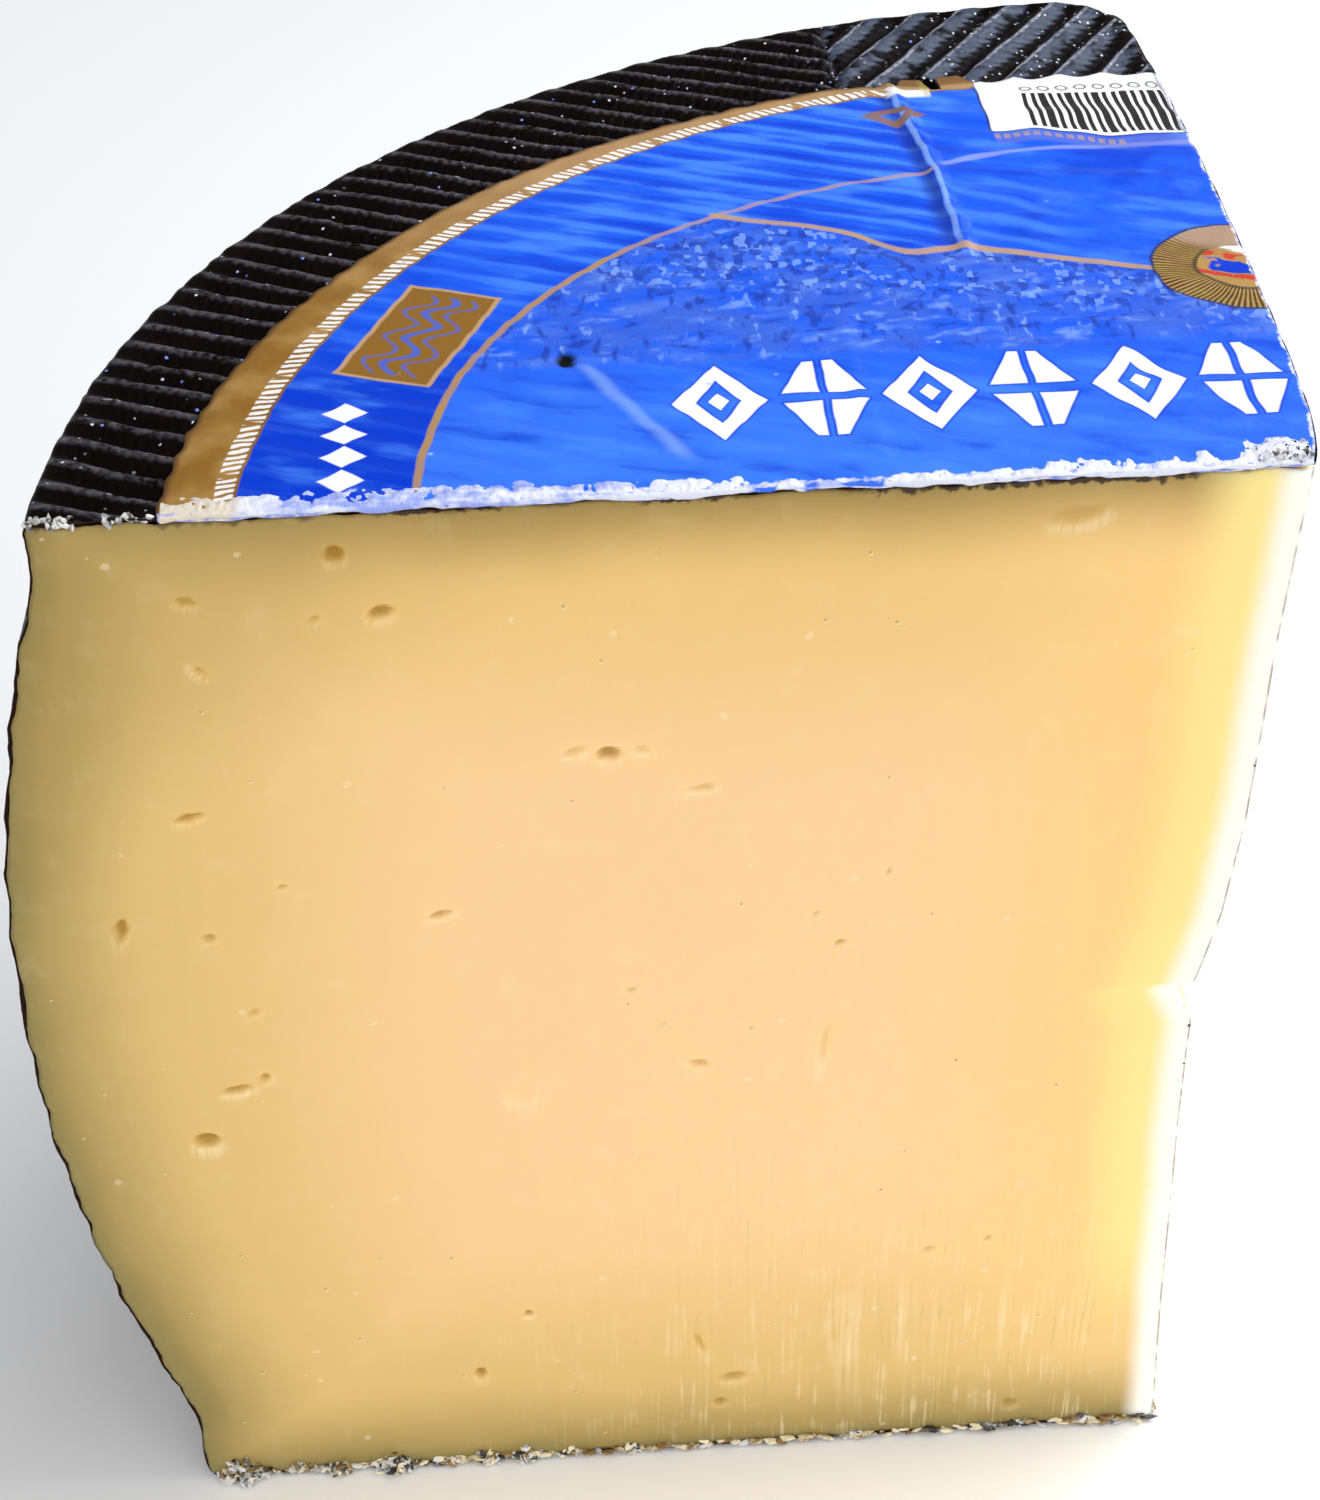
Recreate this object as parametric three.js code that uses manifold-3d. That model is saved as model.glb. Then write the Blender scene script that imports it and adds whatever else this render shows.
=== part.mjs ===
// A quarter of a semi-cured cheese wheel: cream paste, a black rind with a plaited imprint,
// and the piece of printed film that is left on its top. Millimetres, +Z up.
//
// The shapes are worked out in the frame of the whole wheel: its axis is the Z axis, the first
// cut is the plane y = 0 with the piece behind it, and the wheel stands on z = 0. At the end the
// group is moved so that the origin is the middle of the piece's own base.

import * as THREE from 'three';
import { mergeVertices } from 'three/addons/utils/BufferGeometryUtils.js';
import Module from 'manifold-3d';

const wasm = await Module();
wasm.setup();

const degrees = THREE.MathUtils.degToRad;

// Wheel
const WHEEL_HEIGHT = 106.8;
const BELLY_RADIUS = 99.2;
const BELLY_HEIGHT = 57;
const ABOVE_BELLY = { fall: 0.0038, reach: 45 };
const BELOW_BELLY = { fall: 0.0033, reach: 48 };
const RIM_CHAMFER = 0.7;

// Cuts
const CUT_ANGLE = 94.1; // degrees between the two cut faces
const SECTOR_OVERRUN = 12; // degrees that the uncut sector reaches past each cut
const AXIS_SET_BACK = 5; // how far the uncut sector reaches past the wheel's axis
const STALL_HEIGHT = 56.4; // where the knife stopped and left a step in the apex edge
const APEX_TOP_SET = 0.7; // how far the apex edge stands past the wheel's axis at the top
const SECOND_CUT_BULGE = 1.25;
const SECOND_CUT_BULGE_RUN = 4;
const SECOND_CUT_LEAN = 2.6; // how far the second cut falls back towards the rim
const CORNER_START = 84; // along the second cut, where the rim corner starts to round off
const CORNER_SOFTNESS = 3;
const STEP_REACH = 50; // how far the knife's step runs in from the apex edge

// Plaited imprint on the side
const PLAIT_BANDS = 5;
const PLAIT_PITCH = 6.4; // along the belly, from one strand to the next
const PLAIT_DEPTH = 0.7;
const ROWS_A_BAND = 2;

// Strand imprint on the top, which meets in a herringbone at a line
const HERRINGBONE_X = -25;
const TOP_DEPTH = 0.8;
const LEFT_STRANDS = { heading: -25, pitch: 3.0 };
const RIGHT_STRANDS = { heading: 57, pitch: 3.5 };
const STEEP_SHARE = 0.3; // share of a strand's pitch that its steep flank takes

// Printed film
const FILM_THICKNESS = 0.35;
const FILM_CLEARANCE = 0.3;
const FILM_RIPPLE = 0.3; // the strands press through this much
const FILM_RADIUS = 77.8;
const FILM_CENTRE = new THREE.Vector2(-4.0, -2.9);
const FILM_SCALLOP = 0.35;
const FILM_SCALLOP_PITCH = 3.4;
const FILM_CUT_INSET = 0.3;
const FILM_TORN_DEPTH = 0.8;
const FILM_TORN_STEPS = 30;
const FILM_FAR_X = 20; // past the second cut, which trims the film
const TEAR = { angle: 98.5, width: 5.4, depth: 3.4, leftDepth: 1.4, rightDepth: 1.7, tipShare: 0.33 };
const CREASE = { top: 73.0, foot: 34.4, topX: -21.2, footX: -18.4, width: 2.0, crown: 1.0, height: 0.8 };

// Eyes and slits in the first cut: place, size and tilt in degrees
const EYES = [
  { x: -69.6, z: 103.6, wide: 1.4, high: 1.4, tilt: 0 },
  { x: -66.8, z: 98.3, wide: 1.8, high: 1.2, tilt: 10 },
  { x: -80.6, z: 100.0, wide: 1.6, high: 1.0, tilt: -20 },
  { x: -80.6, z: 94.0, wide: 1.7, high: 0.9, tilt: -50 },
  { x: -83.0, z: 80.4, wide: 2.2, high: 1.0, tilt: 15 },
  { x: -50.5, z: 84.3, wide: 2.0, high: 1.3, tilt: 0 },
  { x: -53.2, z: 84.8, wide: 1.5, high: 0.9, tilt: 20 },
  { x: -48.0, z: 84.5, wide: 1.6, high: 0.8, tilt: -15 },
  { x: -43.6, z: 80.6, wide: 2.2, high: 0.8, tilt: 8 },
  { x: -89.6, z: 69.6, wide: 1.2, high: 2.6, tilt: -12 },
  { x: -64.4, z: 69.3, wide: 2.2, high: 0.8, tilt: 12 },
  { x: -82.6, z: 51.4, wide: 2.8, high: 1.1, tilt: 12 },
  { x: -80.2, z: 52.6, wide: 1.4, high: 0.9, tilt: 50 },
  { x: -85.9, z: 45.5, wide: 2.1, high: 2.0, tilt: 0 },
  { x: -59.0, z: 49.0, wide: 2.4, high: 1.8, tilt: 0 },
  { x: -44.0, z: 51.4, wide: 1.8, high: 1.0, tilt: -20 },
  { x: -33.4, z: 53.0, wide: 1.2, high: 4.0, tilt: -4 },
  { x: -44.2, z: 15.6, wide: 1.0, high: 3.0, tilt: -20 },
  { x: -64.6, z: 13.2, wide: 1.2, high: 1.8, tilt: 0 },
  { x: -41.0, z: 10.6, wide: 2.2, high: 1.6, tilt: 10 },
  { x: -59.8, z: 21.1, wide: 1.3, high: 1.2, tilt: 0 },
  { x: -16.0, z: 104.0, wide: 4.0, high: 1.8, tilt: 0 },
  { x: -6.2, z: 56.3, wide: 6.4, high: 0.7, tilt: 3 },
];
const EYE_DEPTH_SHARE = 0.75;

// Torn rind along the foot of both cuts. The lumps grow towards the rim.
const CRUMBS = { step: 3.4, unevenness: 0.6, smallest: 0.7, spread: 1.0, atApex: 0.3, lift: 0.6 };
const CRUMB_FLATTEST = 0.5; // height of the flattest lump as a share of a round one
const CRUMB_LONGEST = 2; // length of the longest lump as a share of a round one
const CRUMB_LEAN_OUT = 0.3; // share of a lump's size that it may stand out from the cut
const CRUMB_SEED = 11;
const FILM_SEED = 12;

// Colours
const PASTE_COLOUR = 0xf6d196;
const FILM_COLOUR = 0x2a5fdc;

const UP = new THREE.Vector3(0, 0, 1);
const CUT_ALONG = new THREE.Vector3(-Math.cos(degrees(CUT_ANGLE)), Math.sin(degrees(CUT_ANGLE)), 0);
const CUT_OUT = new THREE.Vector3().crossVectors(CUT_ALONG, UP);
const ROOM = 40; // how far the cutting blocks reach past the wheel
const MERGE_WITHIN = 1e-5;

/** Numbers from 0 to 1 that are the same on every run. */
function seededNumbers(seed) {
  const multiplier = 48271;
  const modulus = 2147483647;
  let state = seed;
  return () => {
    state = (state * multiplier) % modulus;
    return state / modulus;
  };
}

/** Turns a closed geometry into a solid that can be joined and cut. */
function toSolid(geometry) {
  const bare = geometry.clone();
  bare.deleteAttribute('normal');
  bare.deleteAttribute('uv');
  const merged = mergeVertices(bare, MERGE_WITHIN);
  const vertProperties = new Float32Array(merged.getAttribute('position').array);
  const triVerts = new Uint32Array(merged.getIndex().array);
  return new wasm.Manifold(new wasm.Mesh({ numProp: 3, vertProperties, triVerts }));
}

/** Turns a solid back into a geometry. */
function toGeometry(solid) {
  const mesh = solid.getMesh();
  const geometry = new THREE.BufferGeometry();
  geometry.setAttribute('position', new THREE.BufferAttribute(new Float32Array(mesh.vertProperties), 3));
  geometry.setIndex(new THREE.BufferAttribute(new Uint32Array(mesh.triVerts), 1));
  geometry.computeVertexNormals();
  return geometry;
}

/** A geometry from a list of points and the faces between them. */
function geometryFromFaces(points, faces) {
  const geometry = new THREE.BufferGeometry();
  geometry.setAttribute('position', new THREE.Float32BufferAttribute(points.flat(), 3));
  geometry.setIndex(faces);
  return geometry;
}

/** A box between two corners, as a solid. */
function block(low, high) {
  const size = new THREE.Vector3().subVectors(high, low);
  const middle = new THREE.Vector3().addVectors(high, low).multiplyScalar(0.5);
  const geometry = new THREE.BoxGeometry(size.x, size.y, size.z);
  geometry.translate(middle.x, middle.y, middle.z);
  return toSolid(geometry);
}

/**
 * Radius of the bare wheel at a height, with its two edges broken by a small chamfer. It loses
 * fall mm for each square mm of distance from the belly, and past reach it runs straight.
 */
function barrelRadius(z) {
  const side = z > BELLY_HEIGHT ? ABOVE_BELLY : BELOW_BELLY;
  const fromBelly = Math.min(Math.abs(z - BELLY_HEIGHT), side.reach);
  const bulged = BELLY_RADIUS - side.fall * fromBelly ** 2;
  const fromEdge = Math.min(z, WHEEL_HEIGHT - z);
  return bulged - Math.max(0, RIM_CHAMFER - Math.max(0, fromEdge));
}

/** Heights of the side's rows: the ends of the chamfers and even steps in each plait band. */
function sideHeights() {
  const heights = [0, RIM_CHAMFER];
  const rows = PLAIT_BANDS * ROWS_A_BAND;
  for (let row = 1; row < rows; row += 1) {
    heights.push((WHEEL_HEIGHT * row) / rows);
  }
  heights.push(WHEEL_HEIGHT - RIM_CHAMFER, WHEEL_HEIGHT, WHEEL_HEIGHT + ROOM);
  return heights;
}

/** Sideways shift of a strand at a height, in mm along the belly: a zigzag, one leg a band. */
function strandShift(z) {
  const band = WHEEL_HEIGHT / PLAIT_BANDS;
  const phase = (Math.min(z, WHEEL_HEIGHT) / band) % 2;
  return (phase < 1 ? phase : 2 - phase) * band;
}

/** The wheel's sector, wider than the piece, with the plaited strands round its side. */
function plaitedSector() {
  const heights = sideHeights();
  const stepAngle = PLAIT_PITCH / 2 / BELLY_RADIUS;
  const widest = WHEEL_HEIGHT / PLAIT_BANDS / BELLY_RADIUS;
  const first = -widest - degrees(SECTOR_OVERRUN);
  const columns = Math.ceil((degrees(CUT_ANGLE + SECTOR_OVERRUN) - first) / stepAngle);
  const points = [];
  const faces = [];
  const perRow = columns + 2;
  for (const z of heights) {
    points.push([0, -AXIS_SET_BACK, z]);
    for (let column = 0; column <= columns; column += 1) {
      const angle = first + column * stepAngle + strandShift(z) / BELLY_RADIUS;
      const groove = column % 2 ? PLAIT_DEPTH : 0;
      const radius = barrelRadius(Math.min(z, WHEEL_HEIGHT)) - groove;
      points.push([-Math.cos(angle) * radius, Math.sin(angle) * radius, z]);
    }
  }
  for (let row = 0; row + 1 < heights.length; row += 1) {
    for (let place = 0; place < perRow; place += 1) {
      const a = row * perRow + place;
      const b = row * perRow + ((place + 1) % perRow);
      faces.push(a, a + perRow, b, b, a + perRow, b + perRow);
    }
  }
  const top = (heights.length - 1) * perRow;
  for (let place = 1; place + 1 < perRow; place += 1) {
    faces.push(0, place, place + 1);
    faces.push(top, top + place + 1, top + place);
  }
  return toSolid(geometryFromFaces(points, faces));
}

/** A slab whose top is a row of leaning strands, all along one heading. */
function strandSlab(strands, crest, depth) {
  const reach = BELLY_RADIUS * 1.5;
  const count = Math.ceil((2 * reach) / strands.pitch);
  const outline = new THREE.Shape();
  outline.moveTo(-reach, -ROOM);
  outline.lineTo(-reach + count * strands.pitch, -ROOM);
  for (let strand = count - 1; strand >= 0; strand -= 1) {
    const start = -reach + strand * strands.pitch;
    outline.lineTo(start + strands.pitch, crest - depth);
    outline.lineTo(start + strands.pitch * (1 - STEEP_SHARE), crest);
  }
  outline.lineTo(-reach, crest - depth);
  outline.closePath();
  const geometry = new THREE.ExtrudeGeometry(outline, { depth: 2 * reach, bevelEnabled: false });
  geometry.translate(0, 0, -reach);
  const heading = degrees(strands.heading);
  const along = new THREE.Vector3(Math.cos(heading), Math.sin(heading), 0);
  const across = new THREE.Vector3().crossVectors(UP, along);
  geometry.applyMatrix4(new THREE.Matrix4().makeBasis(across, UP, along));
  return toSolid(geometry);
}

/** Everything below the herringbone top: two strand slabs that meet along a line. */
function herringbone(crest, depth) {
  const far = BELLY_RADIUS + ROOM;
  const seam = 0.01;
  const leftSide = block(
    new THREE.Vector3(-far, -far, -2 * ROOM),
    new THREE.Vector3(HERRINGBONE_X + seam, far, 2 * far),
  );
  const rightSide = block(
    new THREE.Vector3(HERRINGBONE_X - seam, -far, -2 * ROOM),
    new THREE.Vector3(far, far, 2 * far),
  );
  const left = strandSlab(LEFT_STRANDS, crest, depth).intersect(leftSide);
  return strandSlab(RIGHT_STRANDS, crest, depth).intersect(rightSide).add(left);
}

/** Where the apex edge stands at each height, with the step that the knife left. */
const APEX_EDGE = [
  { z: -ROOM, out: -0.5 },
  { z: 3, out: -0.5 },
  { z: 16, out: -1.2 },
  { z: 40, out: -2.1 },
  { z: STALL_HEIGHT - 7, out: -2.4 },
  { z: STALL_HEIGHT - 4.2, out: -2.7 },
  { z: STALL_HEIGHT - 0.3, out: -4.8 },
  { z: STALL_HEIGHT + 0.5, out: -3.1 },
  { z: STALL_HEIGHT + 3, out: -2.1 },
  { z: STALL_HEIGHT + 8, out: -1.1 },
  { z: 74, out: -0.3 },
  { z: 91, out: 0 },
  { z: WHEEL_HEIGHT, out: APEX_TOP_SET },
  { z: WHEEL_HEIGHT + ROOM, out: APEX_TOP_SET },
];

/** How far the second cut stands out from its straight line, at a run along it on one level. */
function secondCutOut(along, level) {
  const run = Math.max(0, along);
  const fade = 1 / (1 + (run / STEP_REACH) ** 2);
  const aboveStep = THREE.MathUtils.clamp((level.z - STALL_HEIGHT) / (WHEEL_HEIGHT - STALL_HEIGHT), 0, 1);
  const bulge = SECOND_CUT_BULGE * aboveStep * (1 - Math.exp(-run / SECOND_CUT_BULGE_RUN));
  const lean = SECOND_CUT_LEAN * (run / CORNER_START) ** 3;
  const corner = Math.max(0, (run - CORNER_START) / CORNER_SOFTNESS) ** 2;
  return level.out * fade + bulge - lean - corner;
}

/** The room that the second cut leaves to the piece: a block with one wavy face. */
function besideSecondCut() {
  const stations = [-ROOM, 0, 3, 7, 12, 20, 35, 50, 65, 76, CORNER_START, 87, 90, BELLY_RADIUS + ROOM];
  const points = [];
  const faces = [];
  const perRow = stations.length + 2;
  const behind = BELLY_RADIUS + 2 * ROOM;
  const place = (along, out, z) => {
    const p = new THREE.Vector3().addScaledVector(CUT_ALONG, along).addScaledVector(CUT_OUT, out);
    points.push([p.x, p.y, z]);
  };
  for (const level of APEX_EDGE) {
    for (const along of stations) {
      place(along, secondCutOut(along, level), level.z);
    }
    place(BELLY_RADIUS + ROOM, -behind, level.z);
    place(-ROOM, -behind, level.z);
  }
  for (let row = 0; row + 1 < APEX_EDGE.length; row += 1) {
    for (let station = 0; station < perRow; station += 1) {
      const a = row * perRow + station;
      const b = row * perRow + ((station + 1) % perRow);
      faces.push(a, b, a + perRow, b, b + perRow, a + perRow);
    }
  }
  const top = (APEX_EDGE.length - 1) * perRow;
  const corner = perRow - 1;
  for (let station = 0; station + 2 < perRow; station += 1) {
    faces.push(corner, station + 1, station);
    faces.push(top + corner, top + station, top + station + 1);
  }
  return toSolid(geometryFromFaces(points, faces));
}

/** One eye or slit: a flattened ball sunk into the first cut. */
function eyeHollow(eye) {
  const geometry = new THREE.SphereGeometry(1, 8, 5);
  const depth = Math.min(eye.wide, eye.high) * EYE_DEPTH_SHARE;
  geometry.scale(eye.wide / 2, depth, eye.high / 2);
  geometry.rotateY(-degrees(eye.tilt));
  geometry.translate(eye.x, 0, eye.z);
  return toSolid(geometry);
}

/** Lumps of torn rind along the foot of a cut, whose face stands out by faceOut(run). */
function footCrumbs(along, out, faceOut, draw) {
  const crumbs = [];
  const length = barrelRadius(RIM_CHAMFER);
  let run = CRUMBS.step;
  while (run < length - CRUMBS.step) {
    const size = CRUMBS.smallest + CRUMBS.spread * draw() * (CRUMBS.atApex + run / length);
    const geometry = new THREE.OctahedronGeometry(size, 1);
    const stretch = THREE.MathUtils.lerp(1, CRUMB_LONGEST, draw());
    const flatten = THREE.MathUtils.lerp(1, CRUMB_FLATTEST, draw());
    geometry.scale(stretch, 1, flatten);
    geometry.rotateZ(draw() * Math.PI);
    const stands = faceOut(run) + CRUMB_LEAN_OUT * size * draw();
    geometry.translate(along.x * run + out.x * stands, along.y * run + out.y * stands, size * CRUMBS.lift);
    crumbs.push(toSolid(geometry));
    run += CRUMBS.step * (1 + CRUMBS.unevenness * (draw() - 0.5));
  }
  return crumbs;
}

/** The paste with its rind: one solid, cut from the wheel. */
function buildCheese() {
  const far = BELLY_RADIUS + ROOM;
  const behindFirstCut = block(new THREE.Vector3(-far, 0, -ROOM), new THREE.Vector3(far, far, 2 * far));
  const aboveGround = block(new THREE.Vector3(-far, -far, 0), new THREE.Vector3(far, far, 2 * far));
  let cheese = plaitedSector().intersect(herringbone(WHEEL_HEIGHT, TOP_DEPTH));
  cheese = cheese.intersect(behindFirstCut).intersect(besideSecondCut());
  for (const eye of EYES) {
    cheese = cheese.subtract(eyeHollow(eye));
  }
  const draw = seededNumbers(CRUMB_SEED);
  const leftwards = new THREE.Vector3(-1, 0, 0);
  const forwards = new THREE.Vector3(0, -1, 0);
  const foot = APEX_EDGE[0];
  const crumbs = [
    ...footCrumbs(leftwards, forwards, () => 0, draw),
    ...footCrumbs(CUT_ALONG, CUT_OUT, (run) => secondCutOut(run, foot), draw),
  ];
  for (const crumb of crumbs) {
    cheese = cheese.add(crumb);
  }
  return cheese.intersect(aboveGround);
}

/** Outline of the film that is left on the piece, seen from above. */
function filmOutline() {
  const draw = seededNumbers(FILM_SEED);
  const outline = new THREE.Shape();
  const start = Math.asin(-FILM_CENTRE.y / FILM_RADIUS);
  const end = degrees(CUT_ANGLE);
  const steps = Math.ceil(((end - start) * FILM_RADIUS) / (FILM_SCALLOP_PITCH / 2));
  for (let step = 0; step <= steps; step += 1) {
    const angle = start + ((end - start) * step) / steps;
    const radius = FILM_RADIUS + (step % 2 ? FILM_SCALLOP : -FILM_SCALLOP);
    const x = FILM_CENTRE.x - Math.cos(angle) * radius;
    const y = FILM_CENTRE.y + Math.sin(angle) * radius;
    if (step === 0) {
      outline.moveTo(x, y);
    } else {
      outline.lineTo(x, y);
    }
  }
  outline.lineTo(FILM_FAR_X, outline.currentPoint.y);
  outline.lineTo(FILM_FAR_X, 0);
  for (let step = 0; step < FILM_TORN_STEPS; step += 1) {
    const x = APEX_TOP_SET - ((FILM_RADIUS + APEX_TOP_SET) * (step + 0.5)) / FILM_TORN_STEPS;
    outline.lineTo(x, FILM_TORN_DEPTH * draw());
  }
  outline.closePath();
  return outline;
}

/** A prism over an outline in plan, tall enough to be trimmed by the film's two faces. */
function prism(outline) {
  const geometry = new THREE.ExtrudeGeometry(outline, { depth: ROOM, bevelEnabled: false });
  geometry.translate(0, 0, WHEEL_HEIGHT - ROOM / 2);
  return toSolid(geometry);
}

/** The gap where the film's edge is torn open at the head of the crease. */
function filmTear() {
  const angle = degrees(TEAR.angle);
  const outline = new THREE.Shape();
  const rim = FILM_RADIUS + FILM_SCALLOP;
  const edge = (turn, radius) => {
    const x = FILM_CENTRE.x + Math.cos(angle + turn) * radius;
    return [x, FILM_CENTRE.y + Math.sin(angle + turn) * radius];
  };
  const half = TEAR.width / 2 / FILM_RADIUS;
  outline.moveTo(...edge(half, rim + TEAR.depth));
  outline.lineTo(...edge(half, rim - TEAR.leftDepth));
  outline.lineTo(...edge(half * TEAR.tipShare, rim - TEAR.depth));
  outline.lineTo(...edge(-half, rim - TEAR.rightDepth));
  outline.lineTo(...edge(-half, rim + TEAR.depth));
  outline.closePath();
  return prism(outline);
}

/** The raised fold that runs down the film from the tear. */
function filmCrease(base) {
  const section = new THREE.Shape();
  section.moveTo(-CREASE.width / 2, -FILM_THICKNESS / 2);
  section.lineTo(CREASE.width / 2, -FILM_THICKNESS / 2);
  section.lineTo(CREASE.crown / 2, CREASE.height);
  section.lineTo(-CREASE.crown / 2, CREASE.height);
  section.closePath();
  const foot = new THREE.Vector3(CREASE.footX, CREASE.foot, base);
  const top = new THREE.Vector3(CREASE.topX, CREASE.top, base);
  const along = new THREE.Vector3().subVectors(foot, top);
  const geometry = new THREE.ExtrudeGeometry(section, { depth: along.length(), bevelEnabled: false });
  const direction = along.clone().normalize();
  const across = new THREE.Vector3().crossVectors(UP, direction);
  geometry.applyMatrix4(new THREE.Matrix4().makeBasis(across, UP, direction));
  geometry.translate(top.x, top.y, top.z);
  return toSolid(geometry);
}

/** The film: a thin skin that follows the strands softly, torn along the cuts. */
function buildFilm() {
  const underside = WHEEL_HEIGHT + FILM_CLEARANCE + FILM_RIPPLE;
  const face = underside + FILM_THICKNESS;
  const inset = besideSecondCut().translate([-FILM_CUT_INSET, 0, 0]);
  const sheet = prism(filmOutline())
    .intersect(inset)
    .subtract(filmTear())
    .intersect(herringbone(face, FILM_RIPPLE));
  const crease = filmCrease(face - FILM_RIPPLE).subtract(filmTear());
  return sheet.add(crease).subtract(herringbone(underside, FILM_RIPPLE));
}

/** A named mesh of a solid with its own material. */
function namedMesh(name, solid, colour, roughness) {
  const material = new THREE.MeshStandardMaterial({ color: colour, roughness, metalness: 0 });
  const mesh = new THREE.Mesh(toGeometry(solid), material);
  mesh.name = name;
  return mesh;
}

const group = new THREE.Group();
group.add(namedMesh('cheese', buildCheese(), PASTE_COLOUR, 0.45));
group.add(namedMesh('film', buildFilm(), FILM_COLOUR, 0.3));

const box = new THREE.Box3().setFromObject(group);
const middle = box.getCenter(new THREE.Vector3());
group.position.set(-middle.x, -middle.y, -box.min.z);

export default group;
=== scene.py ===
"""Looks of a quarter of a semi-cured cheese wheel: cream paste, black plaited rind, printed film.

Shapes are worked out in the frame of the whole wheel: its axis is the Z axis, the first cut is
the plane y = 0 with the piece behind it, and the wheel stands on z = 0. Meshes are moved into the
shared frame, in metres, when they are made. Lengths are in mm unless something else is said.
"""

import enum
import logging
import math
from dataclasses import dataclass, field
from functools import partialmethod
from itertools import product

import bmesh
import bpy
import numpy as np
from bpy.types import ID, Material, Node, NodeSocket as Socket, Object
from mathutils import Matrix, Vector


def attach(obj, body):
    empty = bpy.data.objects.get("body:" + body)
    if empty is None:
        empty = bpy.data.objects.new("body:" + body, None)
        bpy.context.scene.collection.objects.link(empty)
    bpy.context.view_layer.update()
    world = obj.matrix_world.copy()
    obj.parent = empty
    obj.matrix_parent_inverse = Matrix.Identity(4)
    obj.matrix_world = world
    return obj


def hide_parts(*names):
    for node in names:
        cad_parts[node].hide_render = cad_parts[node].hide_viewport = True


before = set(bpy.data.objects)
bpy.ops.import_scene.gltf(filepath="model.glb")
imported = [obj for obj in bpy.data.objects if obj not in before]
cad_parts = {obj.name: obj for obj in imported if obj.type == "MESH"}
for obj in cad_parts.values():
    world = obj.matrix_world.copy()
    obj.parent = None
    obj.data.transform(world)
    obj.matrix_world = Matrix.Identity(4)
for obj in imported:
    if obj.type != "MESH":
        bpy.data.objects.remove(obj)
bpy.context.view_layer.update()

log = logging.getLogger("cheese")

METRES = 0.001
WHEEL_TO_ROW = np.array([46.998, -46.623, 0.0])
WHITE = "ffffff"
Array = np.ndarray
Pair = tuple[float, float]
Triple = tuple[float, float, float]

# The printed film as a full round: its middle in plan and its radius, in mm
FILM_CENTRE = (-4.0, -2.9)
FILM_RADIUS = 77.8
# Where its rim draws in: from this turn, to this turn (radians), by so many mm
FILM_NARROWING = ((0.14, 0.70, 0.8), (0.785, 1.134, 0.8), (1.29, 1.40, 1.9))


# Small helpers


def join(*parts: Array | float) -> Array:
    """Sets numbers side by side, such as the x and y of each point.

    Args:
        parts: arrays and numbers, spread to one shape.

    Returns:
        One array with the parts along its last axis.
    """
    return np.stack(np.broadcast_arrays(*parts), axis=-1)


def put(name: str, data: ID) -> Object:
    """Adds an object to the scene.

    Args:
        name: its name.
        data: its mesh, lamp or camera.

    Returns:
        The object.
    """
    thing = bpy.data.objects.new(name, data)
    bpy.context.scene.collection.objects.link(thing)
    return thing


def smooth(value: Array, low: float, high: float) -> Array:
    """Eased step.

    Args:
        value: what is compared.
        low: where the step is 0. It may be above high, which turns the step round.
        high: where the step is 1.

    Returns:
        Numbers from 0 to 1.
    """
    share = np.clip((value - low) / (high - low), 0.0, 1.0)
    return share * share * (3.0 - 2.0 * share)


def noise(points: Array, cell: float, seed: int) -> Array:
    """Smooth seeded noise.

    Args:
        points: places, one in each row.
        cell: size of one swelling.
        seed: which of the endless patterns to take.

    Returns:
        One number from -1 to 1 for each place.
    """
    scaled = np.asarray(points, float) / cell
    base = np.floor(scaled).astype(np.int64)
    part = scaled - base
    part = part * part * (3.0 - 2.0 * part)
    primes = (374761393, 668265263, 2147483647)
    total = np.zeros(scaled.shape[:-1])
    for corner in product((0, 1), repeat=scaled.shape[-1]):
        mixed = np.full(scaled.shape[:-1], seed * 974634777, np.int64)
        weight = np.ones(scaled.shape[:-1])
        for axis, step in enumerate(corner):
            mixed = mixed + (base[..., axis] + step) * primes[axis]
            weight = weight * (part[..., axis] if step else 1.0 - part[..., axis])
        mixed = (mixed ^ (mixed >> 13)) * 1274126177
        mixed = mixed ^ (mixed >> 16)
        total += weight * ((mixed & 0xFFFF) / 32767.5 - 1.0)
    return total


def layered(points: Array, cell: float, seed: int, layers: int = 3) -> Array:
    """Noise on several scales, each half as large and half as strong as the one before.

    Args:
        points: places, one in each row.
        cell: size of the largest swelling.
        seed: which pattern to take.
        layers: how many scales.

    Returns:
        One number of about -1 to 1 for each place.
    """
    total = np.zeros(np.asarray(points).shape[:-1])
    for layer in range(layers):
        total += noise(points, cell / 2**layer, seed + layer) / 2**layer
    return total


def colour(code: str) -> tuple[float, ...]:
    """Linear colour of a six-digit code.

    Args:
        code: the colour as it shows on a screen, such as "f6d196".

    Returns:
        Red, green, blue and alpha for a shader.
    """
    parts = [int(code[place : place + 2], 16) / 255 for place in (0, 2, 4)]
    linear = [p / 12.92 if p <= 0.04045 else ((p + 0.055) / 1.055) ** 2.4 for p in parts]
    return (linear[0], linear[1], linear[2], 1.0)


# The wheel's shape


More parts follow.
